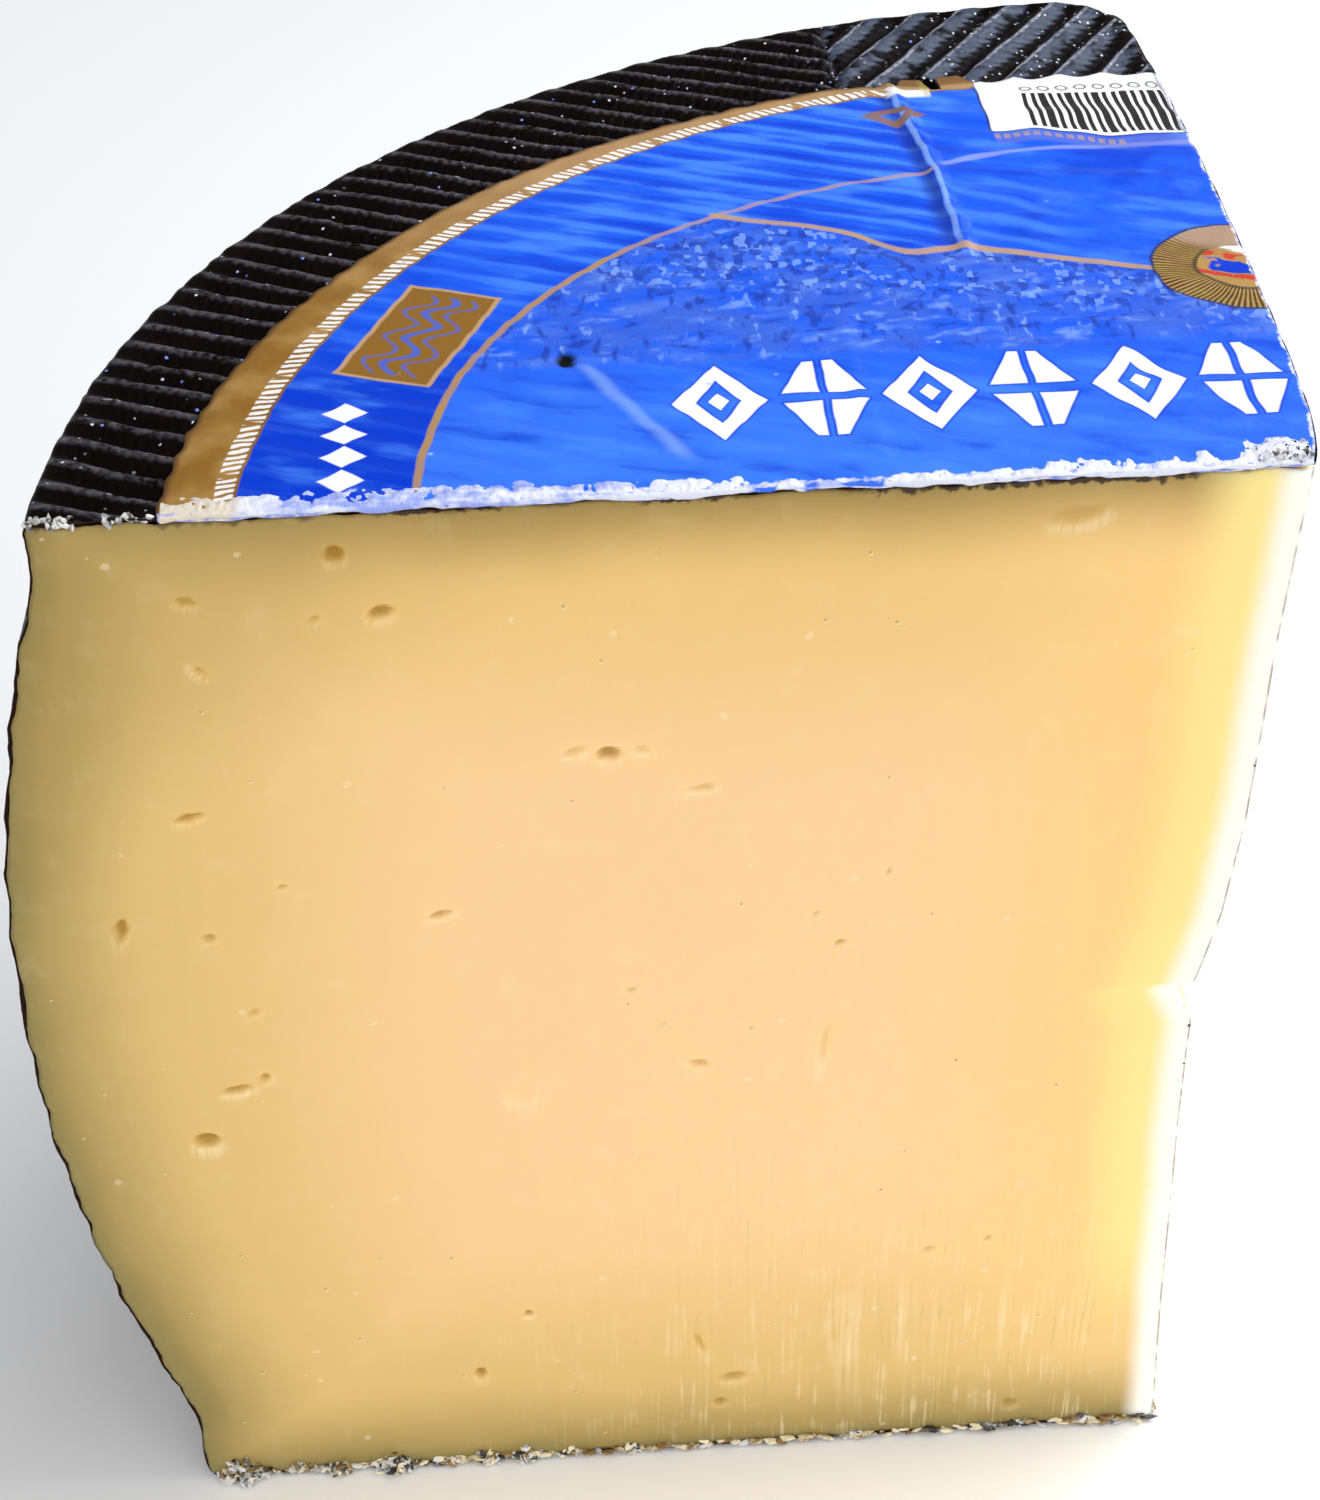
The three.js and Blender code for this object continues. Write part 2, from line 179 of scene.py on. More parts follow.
@dataclass(frozen=True)
class Strands:
    """One sector of the strands pressed into the wheel's top.

    Attributes:
        heading: direction of the strands in degrees.
        pitch: from one strand to the next.
        finger: from one cross groove to the next.
        seed: pattern of the unevenness.
    """

    heading: float
    pitch: float
    finger: float
    seed: int
    crest: float = 0.7
    start: float = 148.8
    skew: float = 0.9
    groove_top: float = 0.42

    def place(self, x: Array, y: Array) -> tuple[Array, Array, Array]:
        """Where points lie on the strands.

        Args:
            x: along the first cut.
            y: away from it.

        Returns:
            Number of the strand, share of its pitch, and run along it.
        """
        turn = math.radians(self.heading)
        across = -x * math.sin(turn) + y * math.cos(turn)
        along = x * math.cos(turn) + y * math.sin(turn)
        share = (across + self.start) / self.pitch
        number = np.floor(share)
        return number, share - number, along

    def sharp(self, x: Array, y: Array) -> Array:
        """Height of the bare strands.

        Args:
            x: along the first cut.
            y: away from it.

        Returns:
            1 on a crest and 0 at the foot of a steep flank.
        """
        _, share, _ = self.place(x, y)
        rise = np.sin(0.5 * math.pi * np.clip(share / self.crest, 0, 1)) ** 0.85
        return np.where(share < self.crest, rise, np.clip((1 - share) / (1 - self.crest), 0, 1))

    def fingers(self, x: Array, y: Array) -> Array:
        """Depth of the cross grooves of the plaited fibres.

        Args:
            x: along the first cut.
            y: away from it.

        Returns:
            1 in the middle of a groove, 0 off the grooves.
        """
        number, share, along = self.place(x, y)
        shift = 0.5 * np.sin(number * 12.9898 + self.seed)
        wave = 0.5 + 0.5 * np.cos(2 * math.pi * (along / self.finger + self.skew * share + shift))
        reach = smooth(share, 0.04, 0.16) * smooth(share, self.groove_top + 0.24, self.groove_top)
        spots = join(along, number * 7.3)
        return wave**2 * reach * (0.65 + 0.35 * noise(spots, 2.3, self.seed))

    def soft(self, x: Array, y: Array) -> Array:
        """Height of a skin that is stretched over the strands.

        Args:
            x: along the first cut.
            y: away from it.

        Returns:
            1 over a crest and 0 between two crests.
        """
        _, share, _ = self.place(x, y)
        rising = share / self.crest / 2
        falling = 0.5 + (share - self.crest) / (1 - self.crest) / 2
        eased = np.where(share < self.crest, rising, falling)
        return 0.5 - 0.5 * np.cos(2 * math.pi * eased)


@dataclass(frozen=True)
class Wheel:
    """Sizes of the wheel and of its two cuts.

    They are the solid's, except for the right-hand strands, the calm zones and the rim's drop.
    """

    height: float = 106.8
    belly_radius: float = 99.2
    belly_height: float = 57.0
    fall_above: float = 0.0038
    reach_above: float = 45.0
    fall_below: float = 0.0033
    reach_below: float = 48.0
    chamfer: float = 0.7
    cut_angle: float = 94.1
    overrun: float = 12.0
    stall: float = 56.4
    bulge: float = 1.25
    bulge_run: float = 4.0
    lean: float = 2.6
    corner_start: float = 84.0
    corner_softness: float = 3.0
    step_reach: float = 50.0
    plait_bands: int = 5
    plait_pitch: float = 6.4
    plait_depth: float = 0.7
    herringbone_x: float = -25.0
    top_depth: float = 0.8
    finger_depth: float = 0.32
    calm_height: float = 9.0
    calm_run: float = 14.0
    straight_from: float = 90.0
    straight_slope: float = 6.98
    left: Strands = Strands(heading=-25.0, pitch=3.0, finger=0.95, seed=3)
    right: Strands = Strands(
        heading=57.5, pitch=3.64, finger=1.4, seed=8, start=149.09, skew=2.2, groove_top=0.26
    )
    rim_drop: float = 0.3
    apex_edge: tuple[Pair, ...] = (
        (3.0, -0.5), (16.0, -1.2), (40.0, -2.1), (49.4, -2.3), (52.4, -2.3), (56.4, -3.9),
        (57.0, -2.5), (59.4, -2.0), (64.4, -1.1), (74.0, -0.3), (91.0, 0.0), (106.8, 0.7),
    )

    @property
    def cut_along(self) -> Array:
        """Direction of the second cut in plan, away from the apex."""
        turn = math.radians(self.cut_angle)
        return np.array([-math.cos(turn), math.sin(turn)])

    @property
    def cut_out(self) -> Array:
        """Direction in plan that the second cut looks in."""
        along = self.cut_along
        return np.array([along[1], -along[0]])

    def barrel(self, z: Array) -> Array:
        """Radius of the bare side.

        Args:
            z: height.

        Returns:
            Radius, with the two rims broken by the chamfer.
        """
        z = np.asarray(z, float)
        gap = np.abs(z - self.belly_height)
        above = self.fall_above * np.minimum(gap, self.reach_above) ** 2
        below = self.fall_below * np.minimum(gap, self.reach_below) ** 2
        from_edge = np.clip(np.minimum(z, self.height - z), 0, None)
        trim = np.clip(self.chamfer - from_edge, 0, None)
        return self.belly_radius - np.where(z > self.belly_height, above, below) - trim

    def side_radius(self, angle: Array, z: Array) -> Array:
        """Radius of the plaited side.

        Args:
            angle: from the first cut, in radians.
            z: height.

        Returns:
            Radius.
        """
        band = self.height / self.plait_bands
        phase = (np.clip(z, 0, self.height) / band) % 2
        leg = np.where(phase < 1, phase, 2 - phase) * band
        first = -band / self.belly_radius - math.radians(self.overrun)
        step = self.plait_pitch / 2 / self.belly_radius
        place = ((angle - first - leg / self.belly_radius) / step) % 2
        groove = (1 - np.abs(1 - place)) ** 1.3
        run = angle * self.belly_radius
        spots = join(run, z)
        ribs = 0.5 + 0.5 * np.cos(2 * math.pi * (z + 0.4 * leg) / 1.25)
        rough = 0.10 * layered(spots, 2.6, 21) + 0.05 * noise(spots, 0.8, 25)
        seam = 0.22 * np.exp(-((((z / band + 0.5) % 1) - 0.5) / 0.045) ** 2)
        calm = smooth(self.height - z, 1.0, self.calm_height)
        calm = calm * (0.25 + 0.75 * smooth(run, 1.0, self.calm_run))
        sunk = self.plait_depth * groove + 0.13 * ribs * (1 - groove) + seam
        return self.barrel(z) - np.clip((0.2 + 0.8 * calm) * sunk + 0.18 + rough, 0.06, None)

    def top_height(self, x: Array, y: Array) -> Array:
        """Height of the plaited top.

        Args:
            x: along the first cut.
            y: away from it.

        Returns:
            Height.
        """
        spots = join(x, y)
        wander = 0.35 * noise(spots, 6.0, 31)
        side = smooth(x, self.herringbone_x - 0.5, self.herringbone_x + 0.5)
        sharp = (1 - side) * self.left.sharp(x, y + wander) + side * self.right.sharp(x + wander, y)
        finger = (1 - side) * self.left.fingers(x, y + wander) + side * self.right.fingers(x + wander, y)
        seam = 0.3 * np.exp(-(((x - self.herringbone_x) / 0.7) ** 2))
        rough = 0.07 * layered(spots, 1.6, 33) + 0.04 * noise(spots, 0.5, 37)
        sunk = self.top_depth * (1 - sharp) + self.finger_depth * finger + seam
        return self.height - np.clip(sunk + 0.06 + rough, 0, self.top_depth + 0.45)

    def apex_out(self, z: Array) -> Array:
        """Where the apex edge stands.

        Args:
            z: height.

        Returns:
            How far the edge stands out along the second cut's direction.
        """
        heights, outs = zip(*self.apex_edge)
        return np.interp(z, heights, outs)

    def second_cut(self, along: Array, z: Array) -> Array:
        """How far the second cut stands out from its straight line.

        Args:
            along: run along the cut from the apex.
            z: height.

        Returns:
            Distance.
        """
        run = np.clip(along, 0, self.straight_from)
        beyond = self.straight_slope * np.clip(along - self.straight_from, 0, None)
        above = np.clip((z - self.stall) / (self.height - self.stall), 0, 1)
        bulge = self.bulge * above * (1 - np.exp(-run / self.bulge_run))
        lean = self.lean * (run / self.corner_start) ** 3
        corner = np.clip((run - self.corner_start) / self.corner_softness, 0, None) ** 2
        return self.apex_out(z) / (1 + (run / self.step_reach) ** 2) + bulge - lean - corner - beyond

    def cut_end(self, z: Array, inside: float) -> Array:
        """Where the second cut meets the side.

        Args:
            z: heights.
            inside: how far inside the rind's face.

        Returns:
            Run along the second cut, one for each height.
        """
        low = np.full(np.shape(z), 70.0)
        high = np.full(np.shape(z), 110.0)
        for _ in range(30):
            middle = (low + high) / 2
            out = self.second_cut(middle, z)
            x, y = self.from_cut(middle, out)
            target = self.side_radius(np.arctan2(y, -x), z) - inside
            outside = np.hypot(x, y) > target
            high = np.where(outside, middle, high)
            low = np.where(outside, low, middle)
        return (low + high) / 2

    def from_cut(self, along: Array, out: Array) -> tuple[Array, Array]:
        """Plan position of a point given along and out of the second cut.

        Args:
            along: run along the cut.
            out: distance out of its straight line.

        Returns:
            x and y.
        """
        a, o = self.cut_along, self.cut_out
        return along * a[0] + out * o[0], along * a[1] + out * o[1]

    def behind_cut(self, x: Array, y: Array) -> Array:
        """How far points on the top lie behind the second cut.

        Args:
            x: along the first cut.
            y: away from it.

        Returns:
            Distance.
        """
        a, o = self.cut_along, self.cut_out
        return self.second_cut(x * a[0] + y * a[1], self.height) - (x * o[0] + y * o[1])

    def sector_grid(self, rim: Array, shares: Array, z: float, inset: float) -> tuple[Array, Array]:
        """Plan positions that fan out from the apex, with the last column on the second cut.

        Args:
            rim: x and y of the far end of each column.
            shares: how far out each row lies, from 0 to 1.
            z: height at which the second cut is followed.
            inset: how far inside the second cut the last column stays.

        Returns:
            x and y, rows by columns.
        """
        apex = np.array([float(self.apex_out(z)) - inset, 0.0])
        plan = apex + shares[:, None, None] * (rim[None] - apex)
        a, o = self.cut_along, self.cut_out
        along = plan[:, -1] @ a
        missing = self.second_cut(along, z) - inset - plan[:, -1] @ o
        pull = np.linspace(0, 1, len(rim)) ** 6
        plan = plan + (pull[None] * missing[:, None])[..., None] * o
        return plan[..., 0], plan[..., 1]


# Mesh building


class Patchwork:
    """Collects points and faces of one mesh, patch by patch."""

    def __init__(self) -> None:
        """Starts empty."""
        self.points: list[Array] = []
        self.faces: list[Array] = []
        self.extras: dict[str, list[Array]] = {}
        self.count = 0

    def add(self, points: Array, **extras: Array) -> Array:
        """Adds points.

        Args:
            points: x, y and z, in any grid shape.
            extras: numbers for each point, by attribute name.

        Returns:
            The points' numbers, in the same grid shape.
        """
        shape = points.shape[:-1]
        size = int(np.prod(shape))
        self.points.append(points.reshape(-1, 3))
        for name in set(self.extras) | set(extras):
            before = self.extras.setdefault(name, [np.zeros(self.count)] if self.count else [])
            values = np.broadcast_to(np.asarray(extras.get(name, 0.0), float), shape)
            before.append(values.reshape(-1))
        numbers = np.arange(self.count, self.count + size).reshape(shape)
        self.count += size
        return numbers

    def skin(self, numbers: Array) -> None:
        """Covers a grid of points with quads.

        Args:
            numbers: point numbers, rows by columns.
        """
        a, b = numbers[:-1, :-1], numbers[:-1, 1:]
        c, d = numbers[1:, 1:], numbers[1:, :-1]
        self.faces.append(join(a, b, c, d).reshape(-1, 4))

    def shell(self, upper: Array, lower: Array) -> None:
        """Covers two grids of points and closes them round their edges into a thin sheet.

        Args:
            upper: point numbers of one face.
            lower: point numbers of the other face.
        """
        self.skin(upper)
        self.skin(lower)
        for edge in (np.s_[:, 0], np.s_[:, -1], np.s_[0, :], np.s_[-1, :]):
            self.skin(np.stack([upper[edge], lower[edge]]))

    def lace(self, one: Array, other: Array) -> None:
        """Joins two lines of points of any counts with triangles.

        Args:
            one: point numbers of a line.
            other: point numbers of a line that runs the same way.
        """
        i, j = 0, 0
        found = []
        while i < len(one) - 1 or j < len(other) - 1:
            ahead_one = (i + 1) / max(len(one) - 1, 1)
            ahead_other = (j + 1) / max(len(other) - 1, 1)
            if j == len(other) - 1 or (i < len(one) - 1 and ahead_one <= ahead_other):
                found.append((one[i], one[i + 1], other[j]))
                i += 1
            else:
                found.append((one[i], other[j + 1], other[j]))
                j += 1
        self.faces.append(np.array(found))

    def fan(self, loop: Array, middle: Array) -> None:
        """Closes a loop with triangles to one more point.

        Args:
            loop: point numbers round the hole.
            middle: the point in the middle.
        """
        hub = int(self.add(np.asarray(middle, float).reshape(1, 3))[0])
        following = np.roll(loop, -1)
        hubs = np.full(len(loop), hub)
        self.faces.append(join(loop, following, hubs))

    def build(self, name: str, material: Material, rounded: bool = True) -> Object:
        """Makes the mesh object in the shared frame.

        Args:
            name: name of the piece.
            material: its finish.
            rounded: smooth from face to face, or else with sharp facets.

        Returns:
            The object, linked to the scene.
        """
        mesh = bpy.data.meshes.new(name)
        points = (np.concatenate(self.points) + WHEEL_TO_ROW) * METRES
        faces = [row for part in self.faces for row in part.tolist()]
        mesh.from_pydata(points.tolist(), [], faces)
        for label, parts in self.extras.items():
            layer = mesh.attributes.new(label, "FLOAT", "POINT")
            layer.data.foreach_set("value", np.concatenate(parts).astype(np.float32))
        work = bmesh.new()
        work.from_mesh(mesh)
        bmesh.ops.remove_doubles(work, verts=work.verts, dist=1e-6)
        bmesh.ops.dissolve_degenerate(work, edges=work.edges, dist=1e-7)
        bmesh.ops.recalc_face_normals(work, faces=work.faces)
        work.to_mesh(mesh)
        work.free()
        mesh.polygons.foreach_set("use_smooth", np.full(len(mesh.polygons), rounded))
        mesh.materials.append(material)
        mesh.update()
        return put(name, mesh)


# Shader building


@dataclass(frozen=True)
class Value:
    """A number that a shader works out, with plain arithmetic on it."""

    graph: "Graph"
    socket: Socket

    def _math(self, kind: str, *others: "Value | float") -> "Value":
        """One step of arithmetic that starts from this number.

        Args:
            kind: Blender's name of the operation.
            others: what else goes in.

        Returns:
            The answer.
        """
        return self.graph.math(kind, self, *others)

    __add__ = partialmethod(_math, "ADD")
    __sub__ = partialmethod(_math, "SUBTRACT")
    __mul__ = partialmethod(_math, "MULTIPLY")
    __truediv__ = partialmethod(_math, "DIVIDE")
    __neg__ = partialmethod(_math, "MULTIPLY", -1.0)
    power = partialmethod(_math, "POWER")
    size = partialmethod(_math, "ABSOLUTE")
    fraction = partialmethod(_math, "FRACT")
    whole = partialmethod(_math, "FLOOR")
    sine = partialmethod(_math, "SINE")
    least = partialmethod(_math, "MINIMUM")
    most = partialmethod(_math, "MAXIMUM")

    def step(self, low: float, high: float) -> "Value":
        """Eased step.

        Args:
            low: where the step is 0. It may be above high, which turns the step round.
            high: where the step is 1.

        Returns:
            A number from 0 to 1.
        """
        node = self.graph.node("ShaderNodeMapRange", interpolation_type="SMOOTHSTEP")
        self.graph.feed(node.inputs["Value"], self)
        if low <= high:
            ends = (low, high, 0.0, 1.0)
        else:
            ends = (high, low, 1.0, 0.0)
        for label, end in zip(("From Min", "From Max", "To Min", "To Max"), ends):
            node.inputs[label].default_value = end
        return Value(self.graph, node.outputs[0])


Number = Value | float
Colour = str | Socket


class Graph:
    """A material's nodes, built from Python arithmetic.

    Attributes:
        skin: base colour so far.
    """

    def __init__(self, name: str) -> None:
        """Makes an empty material.

        Args:
            name: name of the material.
        """
        self.material = bpy.data.materials.new(name)
        self.material.use_nodes = True
        self.tree = self.material.node_tree
        self.tree.nodes.clear()
        coordinates = self.node("ShaderNodeTexCoord")
        scaled = self.node("ShaderNodeVectorMath", operation="MULTIPLY_ADD")
        self.feed(scaled.inputs[0], coordinates.outputs["Object"])
        scaled.inputs[1].default_value = (1000.0, 1000.0, 1000.0)
        scaled.inputs[2].default_value = tuple(-WHEEL_TO_ROW)
        self.place = scaled.outputs[0]
        apart = self.node("ShaderNodeSeparateXYZ")
        self.feed(apart.inputs[0], self.place)
        self.x, self.y, self.z = (Value(self, apart.outputs[axis]) for axis in range(3))
        self.skin: Colour = WHITE

    def node(self, kind: str, **settings: object) -> Node:
        """Adds a node.

        Args:
            kind: Blender's name of the node type.
            settings: the node's own settings.

        Returns:
            The node.
        """
        node = self.tree.nodes.new(kind)
        for label, value in settings.items():
            setattr(node, label, value)
        return node

    def feed(self, socket: Socket, value: Number | Colour | Triple) -> None:
        """Links or sets an input.

        Args:
            socket: the input.
            value: a worked-out number, another node's output, a six-digit colour or a constant.
        """
        if isinstance(value, Value):
            self.tree.links.new(value.socket, socket)
        elif isinstance(value, Socket):
            self.tree.links.new(value, socket)
        elif isinstance(value, str):
            socket.default_value = colour(value)
        else:
            socket.default_value = value

    def math(self, kind: str, *values: Number) -> Value:
        """One step of arithmetic.

        Args:
            kind: Blender's name of the operation.
            values: what goes in.

        Returns:
            The answer.
        """
        node = self.node("ShaderNodeMath", operation=kind)
        for socket, value in zip(node.inputs, values):
            self.feed(socket, value)
        return Value(self, node.outputs[0])

    def vector(self, x: Number, y: Number, z: Number = 0.0) -> Socket:
        """Joins three numbers into a place.

        Args:
            x: first number.
            y: second number.
            z: third number.

        Returns:
            Output socket of the place.
        """
        node = self.node("ShaderNodeCombineXYZ")
        for socket, value in zip(node.inputs, (x, y, z)):
            self.feed(socket, value)
        return node.outputs[0]

    def noise(self, cell: float, detail: float = 2.0, at: Socket | None = None) -> Value:
        """Soft noise around zero.

        Args:
            cell: size of a swelling.
            detail: how many finer scales are added.
            at: where it is read, or the place on the object.

        Returns:
            Numbers of about -1 to 1.
        """
        node = self.node("ShaderNodeTexNoise")
        self.feed(node.inputs["Vector"], at or self.place)
        node.inputs["Scale"].default_value = 1.0 / cell
        node.inputs["Detail"].default_value = detail
        return (Value(self, node.outputs[0]) - 0.5) * 2.0

    def cells(
        self, cell: float, at: Socket | None = None, distance: str = "EUCLIDEAN"
    ) -> tuple[Value, Value]:
        """Scattered cells.

        Args:
            cell: size of a cell.
            at: where it is read, or the place on the object.
            distance: Blender's name of the way in which distances are taken.

        Returns:
            Distance from the cell's middle, and a chance number from 0 to 1 for each cell.
        """
        node = self.node("ShaderNodeTexVoronoi", distance=distance)
        self.feed(node.inputs["Vector"], at or self.place)
        node.inputs["Scale"].default_value = 1.0 / cell
        apart = self.node("ShaderNodeSeparateXYZ")
        self.feed(apart.inputs[0], node.outputs["Color"])
        return Value(self, node.outputs["Distance"]) * cell, Value(self, apart.outputs[0])

    def attribute(self, name: str) -> Value:
        """Numbers that the mesh carries.

        Args:
            name: the attribute's name.

        Returns:
            The number at each place.
        """
        node = self.node("ShaderNodeAttribute", attribute_name=name)
        return Value(self, node.outputs["Fac"])

    def blend(self, share: Number, one: Colour, other: Colour) -> Socket:
        """Mixes two colours.

        Args:
            share: 0 gives the first colour and 1 the other.
            one: first colour.
            other: other colour.

        Returns:
            Output socket of the mixed colour.
        """
        node = self.node("ShaderNodeMix", data_type="RGBA", clamp_factor=True)
        self.feed(node.inputs[0], share)
        self.feed(node.inputs[6], one)
        self.feed(node.inputs[7], other)
        return node.outputs[2]

    def paint(self, share: Number, tint: Colour) -> None:
        """Lays a colour over the base colour.

        Args:
            share: 0 leaves what is there and 1 covers it.
            tint: the colour.
        """
        self.skin = self.blend(share, self.skin, tint)

    def bump(self, height: Value, reach: float, strength: float) -> Socket:
        """Fine relief that is too small for the mesh.

        Args:
            height: relief, 1 for the full reach.
            reach: full depth of the relief.
            strength: share of it that shows.

        Returns:
            Output socket of the tilted normal.
        """
        node = self.node("ShaderNodeBump")
        node.inputs["Strength"].default_value = strength
        node.inputs["Distance"].default_value = reach * METRES
        self.feed(node.inputs["Height"], height)
        return node.outputs[0]

    def finish(self, **inputs: object) -> Material:
        """Adds the shader, with the base colour, and the output.

        Args:
            inputs: values of the shader's other sockets, with _ for a space in the socket's name.

        Returns:
            The finished material.
        """
        shader = self.node("ShaderNodeBsdfPrincipled", subsurface_method="BURLEY")
        self.feed(shader.inputs["Base Color"], self.skin)
        for label, value in inputs.items():
            self.feed(shader.inputs[label.replace("_", " ")], value)
        output = self.node("ShaderNodeOutputMaterial")
        self.feed(output.inputs["Surface"], shader.outputs[0])
        return self.material


# Finishes


@dataclass(frozen=True)
class PasteFinish:
    """Cream paste that turns straw, tan and olive towards the rind; painted light makes it yellower to the
    right and glow yellow and white at the thin apex edge, with painted highlights and shade at its eyes.
    """

    cream: str = "fbd29a"
    painted_sunlight: str = "fdd288"
    painted_glow_yellow: str = "ffe794"
    shade: str = "2c1c14"
    straw: str = "edc679"
    tan: str = "a38647"
    crust: str = "80703a"
    painted_glow: str = "fffdf2"
    amber_and_shade: str = "a27a18"
    olive: str = "b3a566"
    speck: str = "ffedc4"
    outline: str = "9a8c84"
    radius: Triple = (1.0, 0.62, 0.28)
    depth: float = 2.6
    painted_glow_yellow_reach: float = 9.5
    painted_glow_reach: float = 3.4

    def material(self, wheel: Wheel) -> Material:
        """Builds the material.

        Args:
            wheel: sizes of the wheel.

        Returns:
            The material.
        """
        g = Graph("paste")
        swell = g.noise(14.0, 2.0)
        r = (g.x * g.x + g.y * g.y).power(0.5)
        gap = (g.z - wheel.belly_height).size().least(wheel.reach_above)
        side = (gap * gap * -wheel.fall_above) + wheel.belly_radius - r
        below_top = -g.z + wheel.height
        low = (side * 0.74).least(g.z * 0.80 + 0.1) + swell * 1.4
        near = low.least(below_top + swell * 1.4 + 0.9)
        g.skin = g.blend(near.step(30.0, 6.0) * 0.9, self.cream, self.straw)
        # Painted light: the paste is painted yellower and brighter towards the right, the side the light
        # comes from.
        g.paint((g.x + swell * 2.0).step(-30.0, -6.0), self.painted_sunlight)
        g.paint(near.step(9.6, 0.0).power(1.15), self.tan)
        g.paint(low.step(2.6, 0.2) * 0.75, self.crust)
        g.paint(low.step(24.0, 3.0) * 0.3, self.olive)
        g.paint((low + below_top).step(40.0, 14.0) * 0.35, self.tan)
        mottle = g.noise(3.2, 4.0)
        g.paint(mottle.step(0.0, 0.9) * 0.14, self.speck)
        flecks = g.noise(0.9, 3.0).step(0.42, 0.62) * swell.step(-0.2, 0.35)
        g.paint(flecks * 0.4, self.speck)
        along = g.y - g.x
        drag = g.noise(1.0, 2.0, g.vector(along * 2.4, g.z * 0.09, 5.0)) + mottle * 0.5
        dragged = g.z.step(46.0, 10.0) * along.step(2.0, 8.0) * along.step(70.0, 30.0) * 0.95 + 0.05
        g.paint(drag.step(0.1, 0.55) * dragged * 0.4, self.speck)
        g.paint(drag.step(-0.2, -0.6) * dragged * 0.3, self.olive)
        # Painted highlight on the lower rims of the eyes and on the scraped streaks.
        g.paint(g.attribute("lip") * drag.step(-0.5, 0.1) * 0.4, self.speck)
        chip, picked = g.cells(4.4)
        chip = (chip + g.noise(0.5, 3.0) * 0.3).step(0.42, 0.22) * picked.step(0.45, 0.5)
        g.paint(chip * 0.35, self.speck)
        # Eyes: the hollows' amber colour together with painted shade in the hollows.
        g.paint(g.attribute("eye") * 0.85, self.amber_and_shade)
        # Small pits with no hollow in the mesh: painted shade in each pit and a painted highlight on its
        # lower rim.
        pit, chance = g.cells(3.1)
        chosen = chance.step(0.55, 0.6)
        lip, _ = g.cells(3.1, g.vector(g.x - 0.04, g.y, g.z + 0.12 + swell * 0.1))
        g.paint(lip.step(0.24, 0.12) * chosen * 0.45, self.speck)
        g.paint(pit.step(0.2, 0.1) * chosen * 0.6, self.amber_and_shade)
        inland = g.attribute("inland")
        lit = g.z.step(11.0, 30.0)
        # Painted glow: light that shines through the thin apex edge is painted as yellow, fading out towards
        # the foot, and as white right at the edge.
        g.paint((inland + swell).step(self.painted_glow_yellow_reach, 3.8) * lit, self.painted_glow_yellow)
        g.paint((inland + swell * 0.5).step(self.painted_glow_reach, 0.9), self.painted_glow)
        line = inland.step(0.25, 0.1) * g.noise(2.4, 2.0).step(-0.35, 0.2)
        g.paint(line * 0.9, self.outline)
        rough = g.noise(1.0, 4.0)
        strong = g.x.step(-31.0, -27.5) * g.x.step(-6.5, -8.5)
        weak = (g.noise(6.0, 2.0) + strong).step(-0.1, 0.25) * g.x.step(-6.5, -8.5)
        # Painted shade: a dark band along the paste's top edge under the overhanging film, strongest between
        # x -31 and -6.5 mm.
        torn = (below_top + rough - strong * 0.15).step(0.9, 0.6) * weak
        g.paint(torn * g.y.step(0.9, 0.6) * 0.92, self.shade)
        return g.finish(
            Roughness=(mottle * 0.06 + 0.42),
            Subsurface_Weight=0.75,
            Subsurface_Radius=self.radius,
            Subsurface_Scale=self.depth * METRES,
            IOR=1.42,
            Specular_IOR_Level=0.35,
        )


